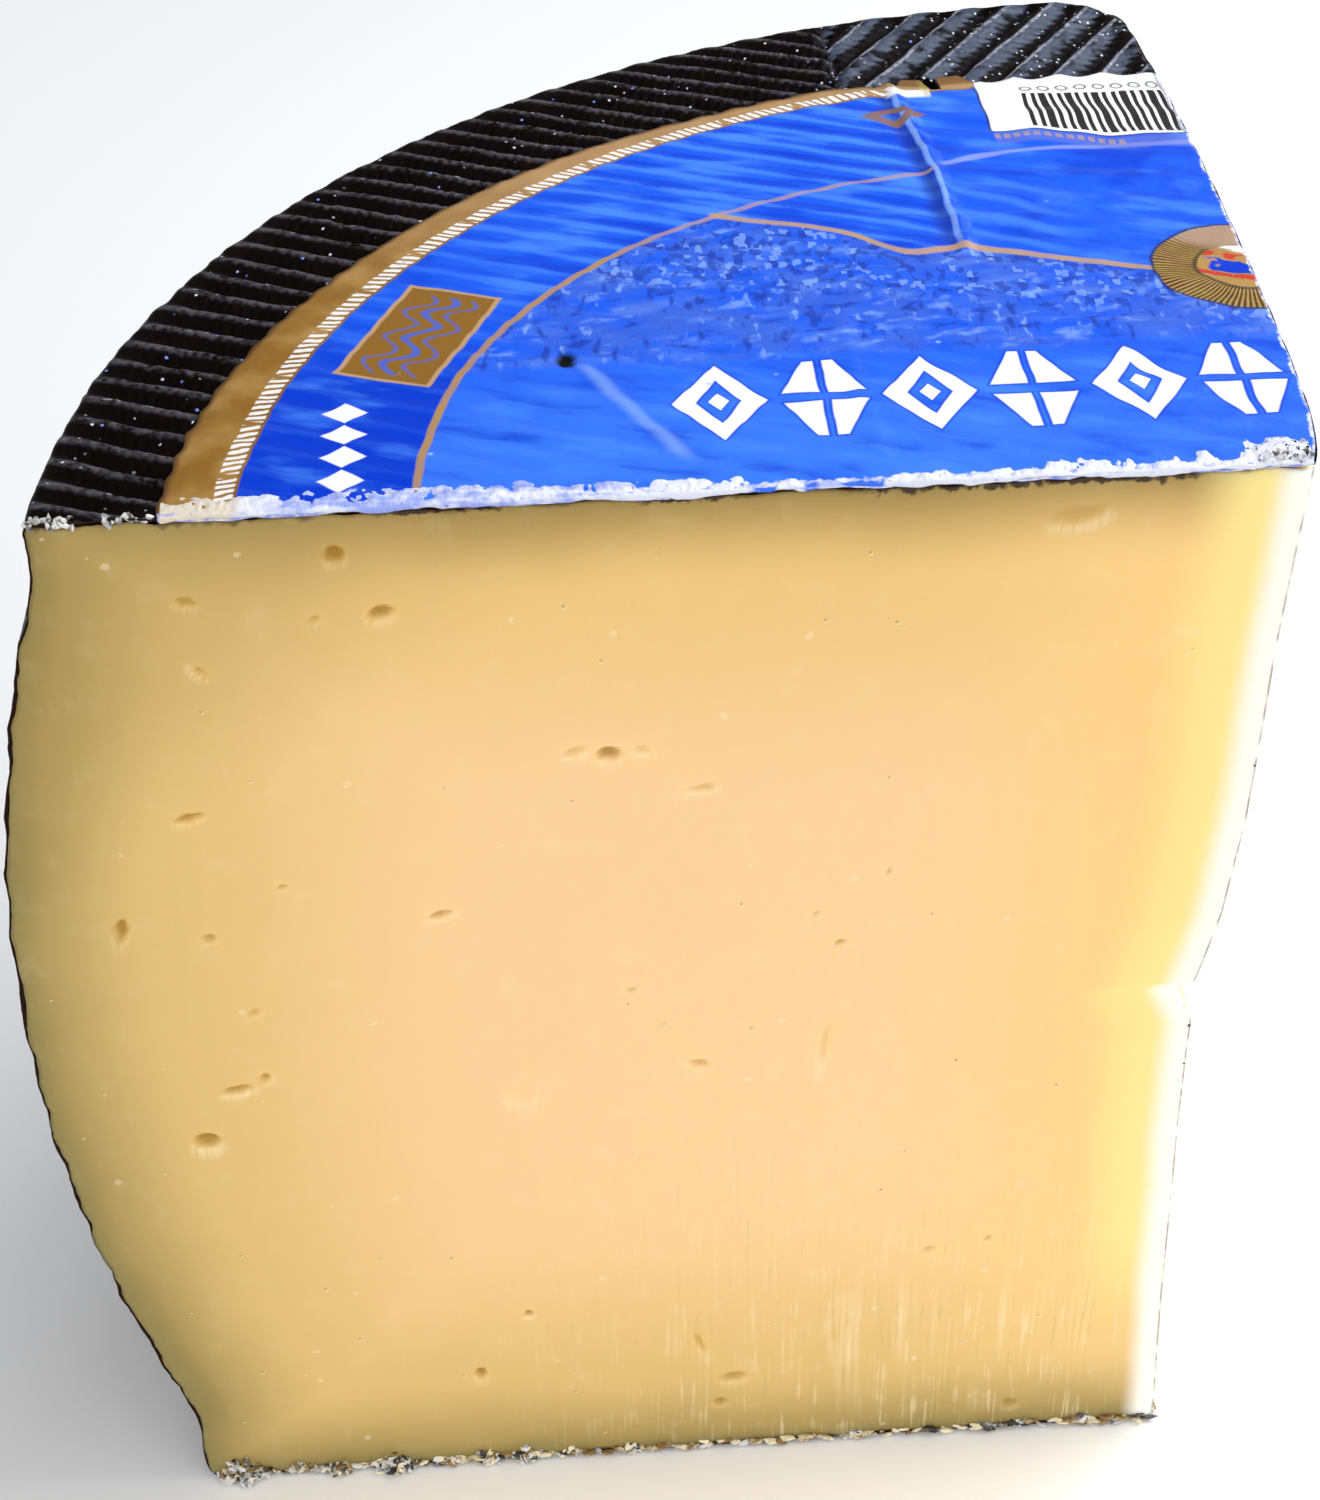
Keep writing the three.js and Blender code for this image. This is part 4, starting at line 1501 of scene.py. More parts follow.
EYES = (
    Eye(-69.6, 103.0, 1.5, 1.4, 0, 0.9, 1.0),
    Eye(-80.6, 99.5, 1.7, 0.8, -12, 0.6, 0.7),
    Eye(-71.6, 97.5, 1.1, 0.7, 20, 0.5, 0.5),
    Eye(-66.8, 97.8, 1.9, 1.2, 8, 0.8, 0.9),
    Eye(-80.4, 93.4, 1.8, 0.7, -45, 0.6, 0.55, 0.7),
    Eye(-53.2, 84.2, 1.9, 0.8, 14, 0.5, 0.35, 0.9),
    Eye(-50.6, 83.8, 1.7, 1.2, 0, 0.9, 0.9, 0.9),
    Eye(-48.0, 84.1, 1.7, 0.8, -12, 0.5, 0.3, 0.9),
    Eye(-43.6, 80.0, 2.6, 0.7, 8, 0.5, 0.45, 0.8),
    Eye(-83.0, 79.8, 2.4, 0.8, 15, 0.7, 0.85),
    Eye(-89.6, 69.0, 1.1, 2.6, -14, 0.9, 0.9),
    Eye(-82.8, 67.6, 1.3, 0.7, 0, 0.6, 0.8),
    Eye(-64.4, 68.7, 2.4, 0.7, 14, 0.7, 0.7, 0.6),
    Eye(-80.4, 59.2, 1.3, 0.7, 30, 0.5, 0.5),
    Eye(-82.6, 50.8, 2.6, 0.9, 10, 0.8, 0.8, 1.0),
    Eye(-80.2, 52.0, 1.1, 1.0, 40, 0.7, 0.8),
    Eye(-85.9, 45.0, 2.3, 1.9, 0, 1.3, 0.9, 1.0),
    Eye(-59.0, 48.4, 2.6, 1.8, 0, 0.4, 0.0, 0.9),
    Eye(-44.0, 50.8, 2.2, 0.8, -14, 0.7, 0.6, 0.5),
    Eye(-33.4, 52.4, 0.9, 4.2, -6, 0.5, 0.25, 0.8),
    Eye(-32.4, 63.4, 1.1, 0.7, 20, 0.6, 0.8),
    Eye(-59.8, 20.5, 1.0, 0.8, 0, 0.7, 1.0),
    Eye(-64.6, 12.6, 1.2, 1.6, 0, 0.8, 0.9),
    Eye(-44.2, 15.0, 0.8, 3.0, 18, 0.6, 0.6, 0.5),
    Eye(-41.0, 10.0, 2.3, 1.3, 8, 0.6, 0.7),
    Eye(-42.4, 6.4, 1.4, 0.9, 0, 0.6, 0.9),
    Eye(-23.4, 26.0, 1.5, 0.6, 10, 0.5, 0.5),
    Eye(-18.0, 27.0, 0.9, 0.7, 0, 0.5, 0.5),
    Eye(-6.4, 93.6, 2.8, 1.5, 5, 0.2, 0.0, 0.5),
    Eye(-16.0, 103.4, 4.0, 1.6, 8, 0.4, 0.35, 0.8),
    Eye(-14.6, 3.6, 1.6, 1.2, 0, 0.5, 0.7),
    Eye(-76.6, 72.4, 0.6, 0.5, 0, 0.4, 0.8),
    Eye(-28.6, 70.8, 0.6, 0.5, 0, 0.4, 0.6),
    Eye(-34.4, 66.6, 0.8, 0.5, 30, 0.4, 0.6),
    Eye(-49.4, 59.4, 0.7, 0.5, 0, 0.4, 0.6),
    Eye(-47.0, 55.4, 0.9, 0.4, 15, 0.4, 0.5),
    Eye(-39.6, 54.4, 0.8, 0.5, 0, 0.4, 0.5),
    Eye(-5.2, 56.3, 2.6, 0.35, 6, 0.35, 0.2, 0.4),
)


@dataclass
class PasteBody:
    """The cream paste, cut on two sides and hidden under the rind elsewhere.

    Attributes:
        wheel: sizes of the wheel.
        finish: look of the paste.
        rind: thickness of the rind at the cuts.
        tuck: how far the hidden side stays inside the cuts.
        hidden: how far the hidden side stays under the rind's face.
        second_eyes: how many eyes the second cut has.
        middle: a place in plan inside the piece.
    """

    wheel: Wheel
    finish: PasteFinish = PasteFinish()
    columns: int = 288
    rows: int = 296
    cut_columns: int = 84
    cut_rows: int = 100
    side_columns: int = 70
    side_rows: int = 40
    rind: float = 0.27
    tuck: float = 0.5
    eye_depth: float = 0.7
    hidden: float = 1.15
    second_eyes: int = 26
    rng_seed: int = 5
    middle: Pair = (-34.0, 34.0)

    def first_cut(self, work: Patchwork) -> Array:
        """Adds the first cut with its eyes, slits and knife marks.

        Args:
            work: mesh that is being built.

        Returns:
            Point numbers, from the foot up and from the rim to the apex.
        """
        w = self.wheel
        level = np.linspace(self.rind, w.height - self.rind, self.rows + 1)[:, None]
        share = np.linspace(0, 1, self.columns + 1)[None]
        flake = 0.20 * layered(join(7.0, level), 3.0, 41)
        rim = -(w.side_radius(np.zeros_like(level), level) - self.rind * 0.8 - np.clip(flake, -0.12, 0.3))
        x = rim + share * (w.apex_out(level) * 1.0026 - rim)
        z = np.broadcast_to(level, x.shape).copy()
        crest = 0.35 * (w.top_height(x, np.zeros_like(x)) - w.height)
        z += np.clip(crest, -0.4, 0) * smooth(z, w.height - 3.0, w.height - self.rind)
        spots = join(x, z)
        z += 0.3 * (layered(join(x, 3.0), 2.2, 43) + 0.3) * smooth(z, 2.5, self.rind)
        y = 0.10 * noise(spots, 24.0, 44) + 0.05 * noise(spots, 5.0, 45)
        eye = np.zeros_like(x)
        lip = np.zeros_like(x)
        for number, hollow in enumerate(EYES):
            turn = math.radians(hollow.tilt)
            dx, dz = x - hollow.x, z - hollow.z
            along = (dx * math.cos(turn) + dz * math.sin(turn)) / (hollow.wide / 2)
            across = (dz * math.cos(turn) - dx * math.sin(turn)) / (hollow.high / 2)
            far = np.hypot(along, across) * (1 + 0.22 * noise(spots, 0.9, 60 + number))
            y += self.eye_depth * hollow.depth * smooth(far, 1.25, 0.35)
            # The eye mark carries the hollow's amber colour and painted shade in the hollow.
            eye = np.maximum(eye, hollow.tint * smooth(far, 1.15, 0.5))
            # Painted highlight on the lower rim of each eye, where light from the upper right falls.
            below = np.hypot(along * 0.8, (across + 0.9) * 0.8)
            lip = np.maximum(lip, hollow.lip * smooth(below, 1.3, 0.7) * smooth(far, 0.8, 1.2))
        scraped = smooth(x, -38, -30) * smooth(x, -6, -12) * smooth(z, 26, 16) * smooth(z, 2, 6)
        streak = noise(join(x, z * 0.05), 0.8, 47)
        y -= 0.10 * scraped * streak
        # Painted highlights on the crests of the scraped streaks.
        lip = np.maximum(lip, 0.7 * scraped * smooth(streak, 0.3, 0.9))
        inland = np.broadcast_to(w.apex_out(level), x.shape) - x
        return work.add(join(x, y, z), eye=eye, lip=lip, inland=inland)

    def second_cut(self, work: Patchwork) -> Array:
        """Adds the second cut.

        Args:
            work: mesh that is being built.

        Returns:
            Point numbers, from the foot up and from the apex to the rim.
        """
        w = self.wheel
        level = np.linspace(self.rind, w.height - self.rind, self.cut_rows + 1)[:, None]
        end = w.cut_end(level[:, 0], self.rind)[:, None]
        start = 1.0
        share = np.linspace(0, 1, self.cut_columns)[None]
        run = start + share * (end - start)
        out = w.second_cut(run, level)
        spots = join(run, level)
        edge = smooth(run, start, start + 4) * smooth(run, end, end - 3)
        uneven = 0.12 + 0.12 * noise(spots, 18.0, 51) + 0.06 * layered(spots, 3.0, 52)
        out = out - edge * uneven
        rng = np.random.default_rng(self.rng_seed)
        eye = np.zeros_like(out)
        for _ in range(self.second_eyes):
            middle = (rng.uniform(8, 84), rng.uniform(8, 98))
            wide, high = rng.uniform(1.6, 3.4), rng.uniform(1.2, 2.2)
            far = np.hypot((run - middle[0]) / wide * 2, (level - middle[1]) / high * 2)
            out = out - 0.9 * smooth(far, 1.3, 0.3)
            # The eye mark carries the hollow's amber colour and painted shade in the hollow.
            eye = np.maximum(eye, 0.7 * smooth(far, 1.1, 0.5))
        x, y = w.from_cut(run, out)
        crest = w.top_height(x, y) - w.height
        z = level + np.clip(crest, -0.6, 0) * smooth(level, w.height - 3.0, w.height - self.rind)
        return work.add(join(x, y, z), eye=eye, inland=run + 1.6)

    def hidden_side(self, work: Patchwork) -> Array:
        """Adds the side under the rind.

        Args:
            work: mesh that is being built.

        Returns:
            Point numbers, from the foot up and from the second cut to the first.
        """
        w = self.wheel
        level = np.linspace(self.hidden, w.height - self.hidden - w.top_depth, self.side_rows + 1)[:, None]
        end = w.cut_end(level[:, 0], self.rind)
        out = w.second_cut(end, level[:, 0])
        x, y = w.from_cut(end, out)
        inset = self.tuck / w.belly_radius
        last = np.arctan2(y, -x)[:, None] - inset
        angle = last + np.linspace(0, 1, self.side_columns)[None] * (inset - last)
        radius = w.barrel(level) - self.hidden
        return work.add(join(-np.cos(angle) * radius, np.sin(angle) * radius, level))

    def build(self) -> Object:
        """Builds the paste.

        Returns:
            The piece.
        """
        w = self.wheel
        work = Patchwork()
        front, right, back = self.first_cut(work), self.second_cut(work), self.hidden_side(work)
        for patch in (front, right, back):
            work.skin(patch)
        work.lace(front[:, -1], right[:, 0])
        work.lace(right[:, -1], back[:, 0])
        work.lace(back[:, -1], front[:, 0])
        centre = np.array(self.middle)
        for row, z in ((-1, w.height - w.top_depth - self.hidden), (0, self.hidden)):
            loop = np.concatenate([front[row], right[row], back[row]])
            places = np.concatenate(work.points)[loop]
            inward = centre - places[:, :2]
            inward = inward / np.linalg.norm(inward, axis=1)[:, None]
            ring = np.column_stack([places[:, :2] + inward * self.tuck, np.full(len(loop), z)])
            inner = work.add(ring)
            closed = np.append(np.arange(len(loop)), 0)
            work.skin(np.stack([loop[closed], inner[closed]]))
            work.fan(inner, np.append(centre, z))
        return work.build("paste", self.finish.material(w))


@dataclass
class RindCoat:
    """The black rind: one coat on the top and one on the side and the underside.

    Attributes:
        wheel: sizes of the wheel.
        finish: look of the rind.
        thickness: how deep the coat shows at the cuts.
    """

    wheel: Wheel
    finish: RindFinish = RindFinish()
    thickness: float = 0.32
    calm_rim: float = 4.0
    calm_cut: float = 3.0
    top_columns: int = 430
    top_fine: float = 0.32
    top_coarse: float = 1.0
    fine_from: float = 66.0
    side_columns: int = 270
    side_rows: int = 178
    base_rows: int = 60

    def _rim(self, columns: int, z: float) -> Array:
        """Plan positions along the rim.

        Args:
            columns: how many.
            z: height at which the rim is followed.

        Returns:
            x and y of each, from the first cut to the second.
        """
        w = self.wheel
        end = w.cut_end(np.array([z]), 0.0)
        x, y = w.from_cut(end, w.second_cut(end, np.array([z])))
        last = float(np.arctan2(y, -x)[0])
        angle = np.linspace(0, last, columns)
        radius = w.side_radius(angle, np.full(columns, z))
        return join(-np.cos(angle) * radius, np.sin(angle) * radius)

    def top(self, material: Material) -> Object:
        """Builds the coat on the top.

        Args:
            material: the rind's finish.

        Returns:
            The piece.
        """
        w = self.wheel
        reach = w.barrel(w.height)
        coarse = np.arange(0, self.fine_from, self.top_coarse)
        fine = np.arange(self.fine_from, reach, self.top_fine)
        shares = np.append(np.concatenate([coarse, fine]) / reach, 1.0)
        rim = self._rim(self.top_columns, w.height - w.chamfer)
        x, y = w.sector_grid(rim, shares, w.height, 0.0)
        from_rim = np.hypot(rim[None, :, 0] - x, rim[None, :, 1] - y)
        from_cut = w.behind_cut(x, y)
        calm = 0.15 + 0.85 * smooth(from_rim, 0.3, self.calm_rim)
        for distance in (y, from_cut):
            calm = calm * (0.25 + 0.75 * smooth(distance, 0.0, self.calm_cut))
        z = w.height + calm * (w.top_height(x, y) - w.height) - w.rim_drop * smooth(from_rim, 3.0, 0.3)
        bent = np.clip(1 - from_rim / w.chamfer, 0, 1)
        z = z - w.chamfer * (1 - np.sqrt(1 - bent**2)) * 0.8
        work = Patchwork()
        right = (x > w.herringbone_x).astype(float)
        strand, finger = np.zeros_like(x), np.zeros_like(x)
        for sector, strands in ((1 - right, w.left), (right, w.right)):
            number, share, _ = strands.place(x, y)
            strand += sector * (number + share + 0.35 / strands.pitch * noise(join(x, y), 6.0, 31))
            finger += sector * strands.fingers(x, y)
        grid = work.add(join(x, y, z), cut=0.0, right=right, strand=strand, finger=finger)
        work.skin(grid)
        for line, inward in ((grid[:, 0], (0.0, 0.12)), (grid[:, -1], tuple(-0.12 * w.cut_out))):
            self._edge(work, line, inward, 0.0)
        foot = np.concatenate(work.points)[grid[-1]] - [0, 0, 0.4]
        work.skin(np.stack([grid[-1], work.add(foot)]))
        return work.build("rind_top", material)

    def _edge(self, work: Patchwork, line: Array, inward: Pair, side: float) -> None:
        """Adds the cut face of the coat below a line of points.

        Args:
            work: mesh that is being built.
            line: point numbers along the cut.
            inward: how far the foot of the face steps back, in plan.
            side: 0 for a coat that lies flat, 1 for one that stands on the side.
        """
        places = np.concatenate(work.points)[line]
        depth = self.thickness * (1 + 0.35 * layered(places[:, [0, 2]] + places[:, [1]], 2.0, 71))
        steps = []
        for share in (0.0, 0.5, 1.0):
            moved = places.copy()
            moved[:, 0] += inward[0] * share
            moved[:, 1] += inward[1] * share
            if side:
                plan = np.hypot(places[:, 0], places[:, 1])
                shrink = (1 - share * depth / plan)[:, None]
                moved[:, :2] *= shrink
            else:
                moved[:, 2] -= share * depth
            steps.append(moved)
        work.skin(work.add(np.stack(steps), cut=1.0))

    def side(self, material: Material) -> Object:
        """Builds the coat on the side and the underside.

        Args:
            material: the rind's finish.

        Returns:
            The piece.
        """
        w = self.wheel
        level = np.linspace(0.25, w.height - w.chamfer - 0.2, self.side_rows)[:, None]
        end = w.cut_end(level[:, 0], 0.0)
        ex, ey = w.from_cut(end, w.second_cut(end, level[:, 0]))
        last = np.arctan2(ey, -ex)[:, None]
        angle = np.linspace(0, 1, self.side_columns)[None] * last
        radius = w.side_radius(angle, level)
        points = join(-np.cos(angle) * radius, np.sin(angle) * radius, level)
        work = Patchwork()
        grid = work.add(points, cut=0.0)
        work.skin(grid)
        self._edge(work, grid[:, 0], (0.0, 0.1), 1.0)
        self._edge(work, grid[:, -1], tuple(-0.1 * w.cut_out), 1.0)
        shares = np.linspace(1, 0, self.base_rows)
        x, y = w.sector_grid(points[0, :, :2], shares, 0.3, 0.0)
        spots = join(x, y)
        strand = w.left.sharp(x, -y)
        z = 0.25 - 0.22 * strand * smooth(shares, 1.0, 0.97)[:, None] + 0.02 * noise(spots, 2.0, 74)
        base = work.add(join(x, y, np.clip(z, 0.01, None)))
        work.skin(base)
        self._lift_edge(work, base[:, 0])
        self._lift_edge(work, base[:, -1])
        return work.build("rind_side", material)

    def _lift_edge(self, work: Patchwork, line: Array) -> None:
        """Adds the cut face of the underside's coat above a line of points.

        Args:
            work: mesh that is being built.
            line: point numbers along the cut.
        """
        places = np.concatenate(work.points)[line]
        raised = places + [0, 0, 1] * (0.3 + 0.15 * noise(places, 1.5, 76))[:, None]
        work.skin(np.stack([line, work.add(raised, cut=1.0)]))

    def build(self) -> list[Object]:
        """Builds both coats.

        Returns:
            The pieces.
        """
        material = self.finish.material()
        return [self.top(material), self.side(material)]


@dataclass
class PrintedFilm:
    """The piece of printed film that is left on the top.

    Attributes:
        wheel: sizes of the wheel.
        finish: look of the film.
        fringe_widths: width of the frayed edge at places along the first cut.
        crest: height of the film over the strands' crests.
        drape: height of the film at the first cut.
        tear_turn: where the rim is torn open, in degrees round the film's middle.
    """

    wheel: Wheel
    finish: FilmFinish = FilmFinish()
    fringe_finish: FringeFinish = FringeFinish()
    fringe_ends: Pair = (-81.5, 0.5)
    fringe_columns: int = 1100
    fringe_rows: int = 16
    fringe_widths: tuple[Pair, ...] = (
        (-81.5, 2.0), (-76.0, 2.4), (-60.0, 2.1), (-52.0, 1.8), (-48.0, 1.3), (-43.4, 1.4), (-40.4, 1.3),
        (-39.4, 0.05), (-38.2, 0.05), (-37.4, 0.9), (-36.6, 0.8), (-35.8, 0.05), (-34.4, 0.5), (-33.0, 0.05),
        (-30.6, 0.1), (-29.6, 0.8), (-24.0, 0.7), (-18.8, 0.6), (-18.2, 1.6), (-12.7, 1.6), (-11.9, 0.5),
        (-11.2, 0.6), (-10.7, 1.5), (-6.9, 1.6), (-6.0, 0.4), (-4.7, 0.6), (-3.8, 2.5), (0.5, 2.8),
    )
    wave_pitch: float = 3.4
    scallop_pitch: float = 4.34
    scallop: float = 0.12
    scallop_right: float = 0.25
    crest: float = 107.12
    highest: float = 108.2
    thickness: float = 0.12
    ripple: float = 0.13
    inset: float = 0.25
    columns: int = 285
    rows: int = 172
    edge_columns: int = 12
    edge_width: float = 2.4
    overhang: float = 0.14
    drape: float = 106.87
    last_turn: float = 96.5
    tear_turn: float = 80.4
    tear_width: float = 1.25
    tear_depth: float = 2.4
    flap_width: float = 3.7
    slot_rim: float = 75.4
    hole: Pair = (-52.3, 20.0)
    crease_y: tuple[float, ...] = (34.4, 38.4, 44.8, 53.6, 61.6, 69.6, 73.2)
    crease_x: tuple[float, ...] = (-19.0, -18.4, -19.0, -19.0, -19.6, -20.4, -21.2)

    def outline(self) -> Array:
        """Rim of the film from the first cut to the second.

        Returns:
            x and y of each column's far end.
        """
        cx, cy = FILM_CENTRE
        first = math.asin(-cy / FILM_RADIUS)
        last = math.radians(self.last_turn)
        tear = math.radians(self.tear_turn)
        edge = self.edge_width / FILM_RADIUS
        span = np.linspace(first + edge, last, 4000)
        weight = np.cumsum(1 + 2.5 * np.exp(-(((span - tear) * FILM_RADIUS / 5.0) ** 2)))
        inner = np.interp(np.linspace(weight[0], weight[-1], self.columns - self.edge_columns), weight, span)
        turn = np.concatenate([np.linspace(first, first + edge, self.edge_columns, endpoint=False), inner])
        run = turn * FILM_RADIUS
        uneven = 0.5 * noise(run[:, None], 2.0, 81)
        right = smooth(turn, tear, tear + 0.08)
        wave = (1 - right) * np.sin(2 * math.pi * run / self.wave_pitch)
        wave = wave - right * np.abs(np.sin(math.pi * run / self.scallop_pitch)) * 2
        radius = FILM_RADIUS + (self.scallop + self.scallop_right * right) * (wave + uneven)
        for low, high, depth in FILM_NARROWING:
            radius = radius - depth * smooth(turn, low, high)
        gap = np.abs(turn - tear) * FILM_RADIUS
        radius = radius + 1.5 * smooth(gap, self.flap_width, self.flap_width - 1.2)
        radius = radius - 0.5 * np.exp(-(((gap - self.flap_width - 0.2) / 0.4) ** 2))
        return join(cx - np.cos(turn) * radius, cy + np.sin(turn) * radius)

    def slot(self, x: Array, y: Array) -> tuple[Array, Array]:
        """Pulls the film back where it is torn open at the crease's head.

        Args:
            x: along the first cut.
            y: away from it.

        Returns:
            The new x and y.
        """
        cx, cy = FILM_CENTRE
        far = np.hypot(x - cx, y - cy)
        gap = np.abs(np.arctan2(y - cy, cx - x) - math.radians(self.tear_turn)) * FILM_RADIUS
        torn = smooth(gap, self.tear_width * 0.65, self.tear_width * 0.4)
        limit = self.slot_rim - self.tear_depth * torn
        scale = np.where(torn > 0, np.minimum(1.0, limit / np.maximum(far, 1.0)), 1.0)
        return cx + (x - cx) * scale, cy + (y - cy) * scale

    def torn_edge(self, x: Array) -> Array:
        """How far the torn front edge stands back from the first cut.

        Args:
            x: along the first cut.

        Returns:
            Distance.
        """
        line = join(x, 0.0)
        wave = 0.10 * layered(line, 4.0, 83) + 0.06 * noise(line, 0.9, 86)
        return np.clip(wave - self.overhang, -0.3, 0.1)

    def face(self, x: Array, y: Array) -> Array:
        """Height of the film's printed face.

        Args:
            x: along the first cut.
            y: away from it.

        Returns:
            Height.
        """
        w = self.wheel
        spots = join(x, y)
        wander = 0.5 * noise(spots, 9.0, 91)
        side = smooth(x, w.herringbone_x - 4, w.herringbone_x + 4)
        lively = 0.75 + 0.25 * noise(spots, 11.0, 92)
        ripple = (1 - side) * w.left.soft(x, y + wander) + side * (0.35 * w.right.soft(x + wander, y) + 0.45)
        height = self.crest - self.ripple * lively * (1 - ripple)
        swell = np.sin(2 * math.pi * (y + 0.14 * x + 1.6 * noise(spots, 16.0, 93)) / 4.6)
        height = height + 0.17 * side * swell * (0.6 + 0.4 * noise(spots, 8.0, 94))
        height = height + 0.05 * layered(spots, 4.0, 95)
        line = np.interp(y, self.crease_y, self.crease_x)
        run = smooth(y, 33.0, 38.0)
        off = x - line
        ridge = 0.45 * np.exp(-((off / 0.6) ** 2)) - 0.12 * np.exp(-(((off + 1.4) / 0.8) ** 2))
        height = height + run * ridge
        weak = x + 30.4 - 0.5 * noise(spots, 7.0, 96)
        height = height + 0.16 * np.exp(-((weak / 0.7) ** 2)) * smooth(y, 1.5, 4.0) * smooth(y, 27, 22)
        bow = x - np.interp(y, (5.6, 14.4, 21.2), (-44.8, -48.8, -52.2))
        height = height + 0.10 * np.exp(-((bow / 0.7) ** 2)) * smooth(y, 3.0, 7.0) * smooth(y, 21.5, 18.5)
        far = np.hypot(x - FILM_CENTRE[0], y - FILM_CENTRE[1])
        height = height - 0.22 * smooth(FILM_RADIUS - far, 1.6, 0.0)
        height = height + (self.drape - height) * smooth(y, 1.4, 0.1)
        hang = np.clip(0.24 + 0.2 * layered(spots[..., :1], 3.4, 97), 0.03, 0.5)
        height = height - hang * smooth(y, 0.03, -0.1)
        return np.minimum(height, self.highest)

    def fringe(self) -> Object:
        """Builds the strip of stretched, frayed film along the tear.

        Returns:
            The piece.
        """
        x = np.linspace(*self.fringe_ends, self.fringe_columns)[:, None]
        share = np.linspace(0, 1, self.fringe_rows)[None]
        line = join(x, 0.0)
        width = np.interp(x, *zip(*self.fringe_widths))
        ragged = 0.08 + 0.3 * smooth(x, -46.0, -30.0)
        width = width * (1 + 0.25 * noise(line, 3.1, 111) + ragged * layered(line, 1.0, 112))
        width = np.clip(width, 0.04, 3.2)
        y = width - (width + self.overhang + 0.08) * np.clip(share / 0.75, 0, 1)
        x = np.broadcast_to(x, y.shape)
        spots = join(x, y * 1.5 + share)
        rough = layered(spots, 0.8, 114)
        fold = np.sin(math.pi * np.clip(share / 0.8, 0, 1))
        z = np.maximum(self.face(x, np.maximum(y, 0.04)), self.drape) - 0.07
        z = z + fold * np.clip(0.16 + 0.16 * rough + 0.2 * smooth(x, -4.6, -2.0), 0.0, 0.6)
        hang = np.clip(0.2 + 0.2 * layered(line, 2.2, 115), 0.03, 0.5)
        z = z - hang * np.clip((share - 0.75) / 0.25, 0, 1)
        y = y + 0.05 * rough * np.clip(share / 0.3, 0, 1)
        face = join(x, y, z)
        work = Patchwork()
        work.shell(work.add(face), work.add(face + np.array([0.0, 0.06, -0.1])))
        return work.build("film_fringe", self.fringe_finish.material())

    def build(self) -> Object:
        """Builds the film.

        Returns:
            The piece.
        """
        w = self.wheel
        rim = self.outline()
        x, y = w.sector_grid(rim, np.linspace(0.004, 1, self.rows), w.height, self.inset)
        x, y = self.slot(x, y)
        back = self.torn_edge(x)
        y = y + back * np.exp(-y / 1.5)
        z = self.face(x, y)
        hole = smooth(np.hypot((x - self.hole[0]) / 0.75, (y - self.hole[1]) / 1.1), 1.2, 0.8)
        z = z - 0.35 * hole
        from_cut = w.behind_cut(x, y)
        torn = 0.8 * smooth(y, 1.2, 0.1) + 0.75 * smooth(from_cut, 0.9, 0.2)
        work = Patchwork()
        marks = {
            "drape": w.left.soft(x, y),
            "hole": hole,
            "torn": np.clip(torn, 0, 1),
            "near_cut": np.clip(from_cut, 0, 3),
        }
        face = work.add(join(x, y, z), **marks)
        work.shell(face, work.add(join(x, y, z - self.thickness), **marks))
        return work.build("film_print", self.finish.material())


class CrumbKind(enum.Enum):
    """Kinds of crumbs, each one piece."""

    RIND = CrumbFinish("crumbs_rind", "2a211c", "e6e6e4")
    PASTE = CrumbFinish("crumbs_paste", "8a6a34", "f6ebc8")


@dataclass(frozen=True)
class Heap:
    """A heap of torn bits at the foot of the first cut.

    Attributes:
        x: its middle along the cut.
        wide: its width.
        out: how far it lies out from the cut on the floor.
        high: how far it climbs up the cut.
        count: how many bits it has.
        rind: share of bits that are rind.
    """

    x: float
    wide: float
    out: float
    high: float
    count: int
    rind: float = 0.8


HEAPS = (
    Heap(-87.9, 6.4, 1.9, 2.8, 190),
    Heap(-82.4, 3.6, 0.4, 1.4, 46, 0.35),
    Heap(-79.0, 3.4, 1.3, 1.2, 60, 0.6),
    Heap(-73.6, 5.6, 1.7, 1.7, 130),
    Heap(-68.8, 2.2, 0.6, 1.0, 26, 0.5),
    Heap(-64.6, 4.2, 0.9, 1.2, 56, 0.45),
    Heap(-61.0, 3.6, 1.1, 1.6, 70),
    Heap(-57.0, 3.2, 0.5, 1.0, 30, 0.4),
    Heap(-50.6, 2.4, 0.5, 1.2, 24, 0.5),
    Heap(-44.0, 3.0, 0.4, 0.8, 22, 0.4),
    Heap(-29.3, 1.8, 0.3, 1.2, 14, 0.9),
    Heap(-13.6, 1.6, 0.3, 1.2, 14, 0.9),
    Heap(-7.2, 2.6, 0.3, 1.6, 22, 0.9),
)

# Bits on the top's rim at the first cut: place along it, spread, how many, size
RIM_BITS = ((-90.0, 0.7, 14, 0.62), (-88.4, 0.5, 12, 0.6), (-84.4, 0.4, 9, 0.7), (-82.9, 0.3, 8, 0.5))


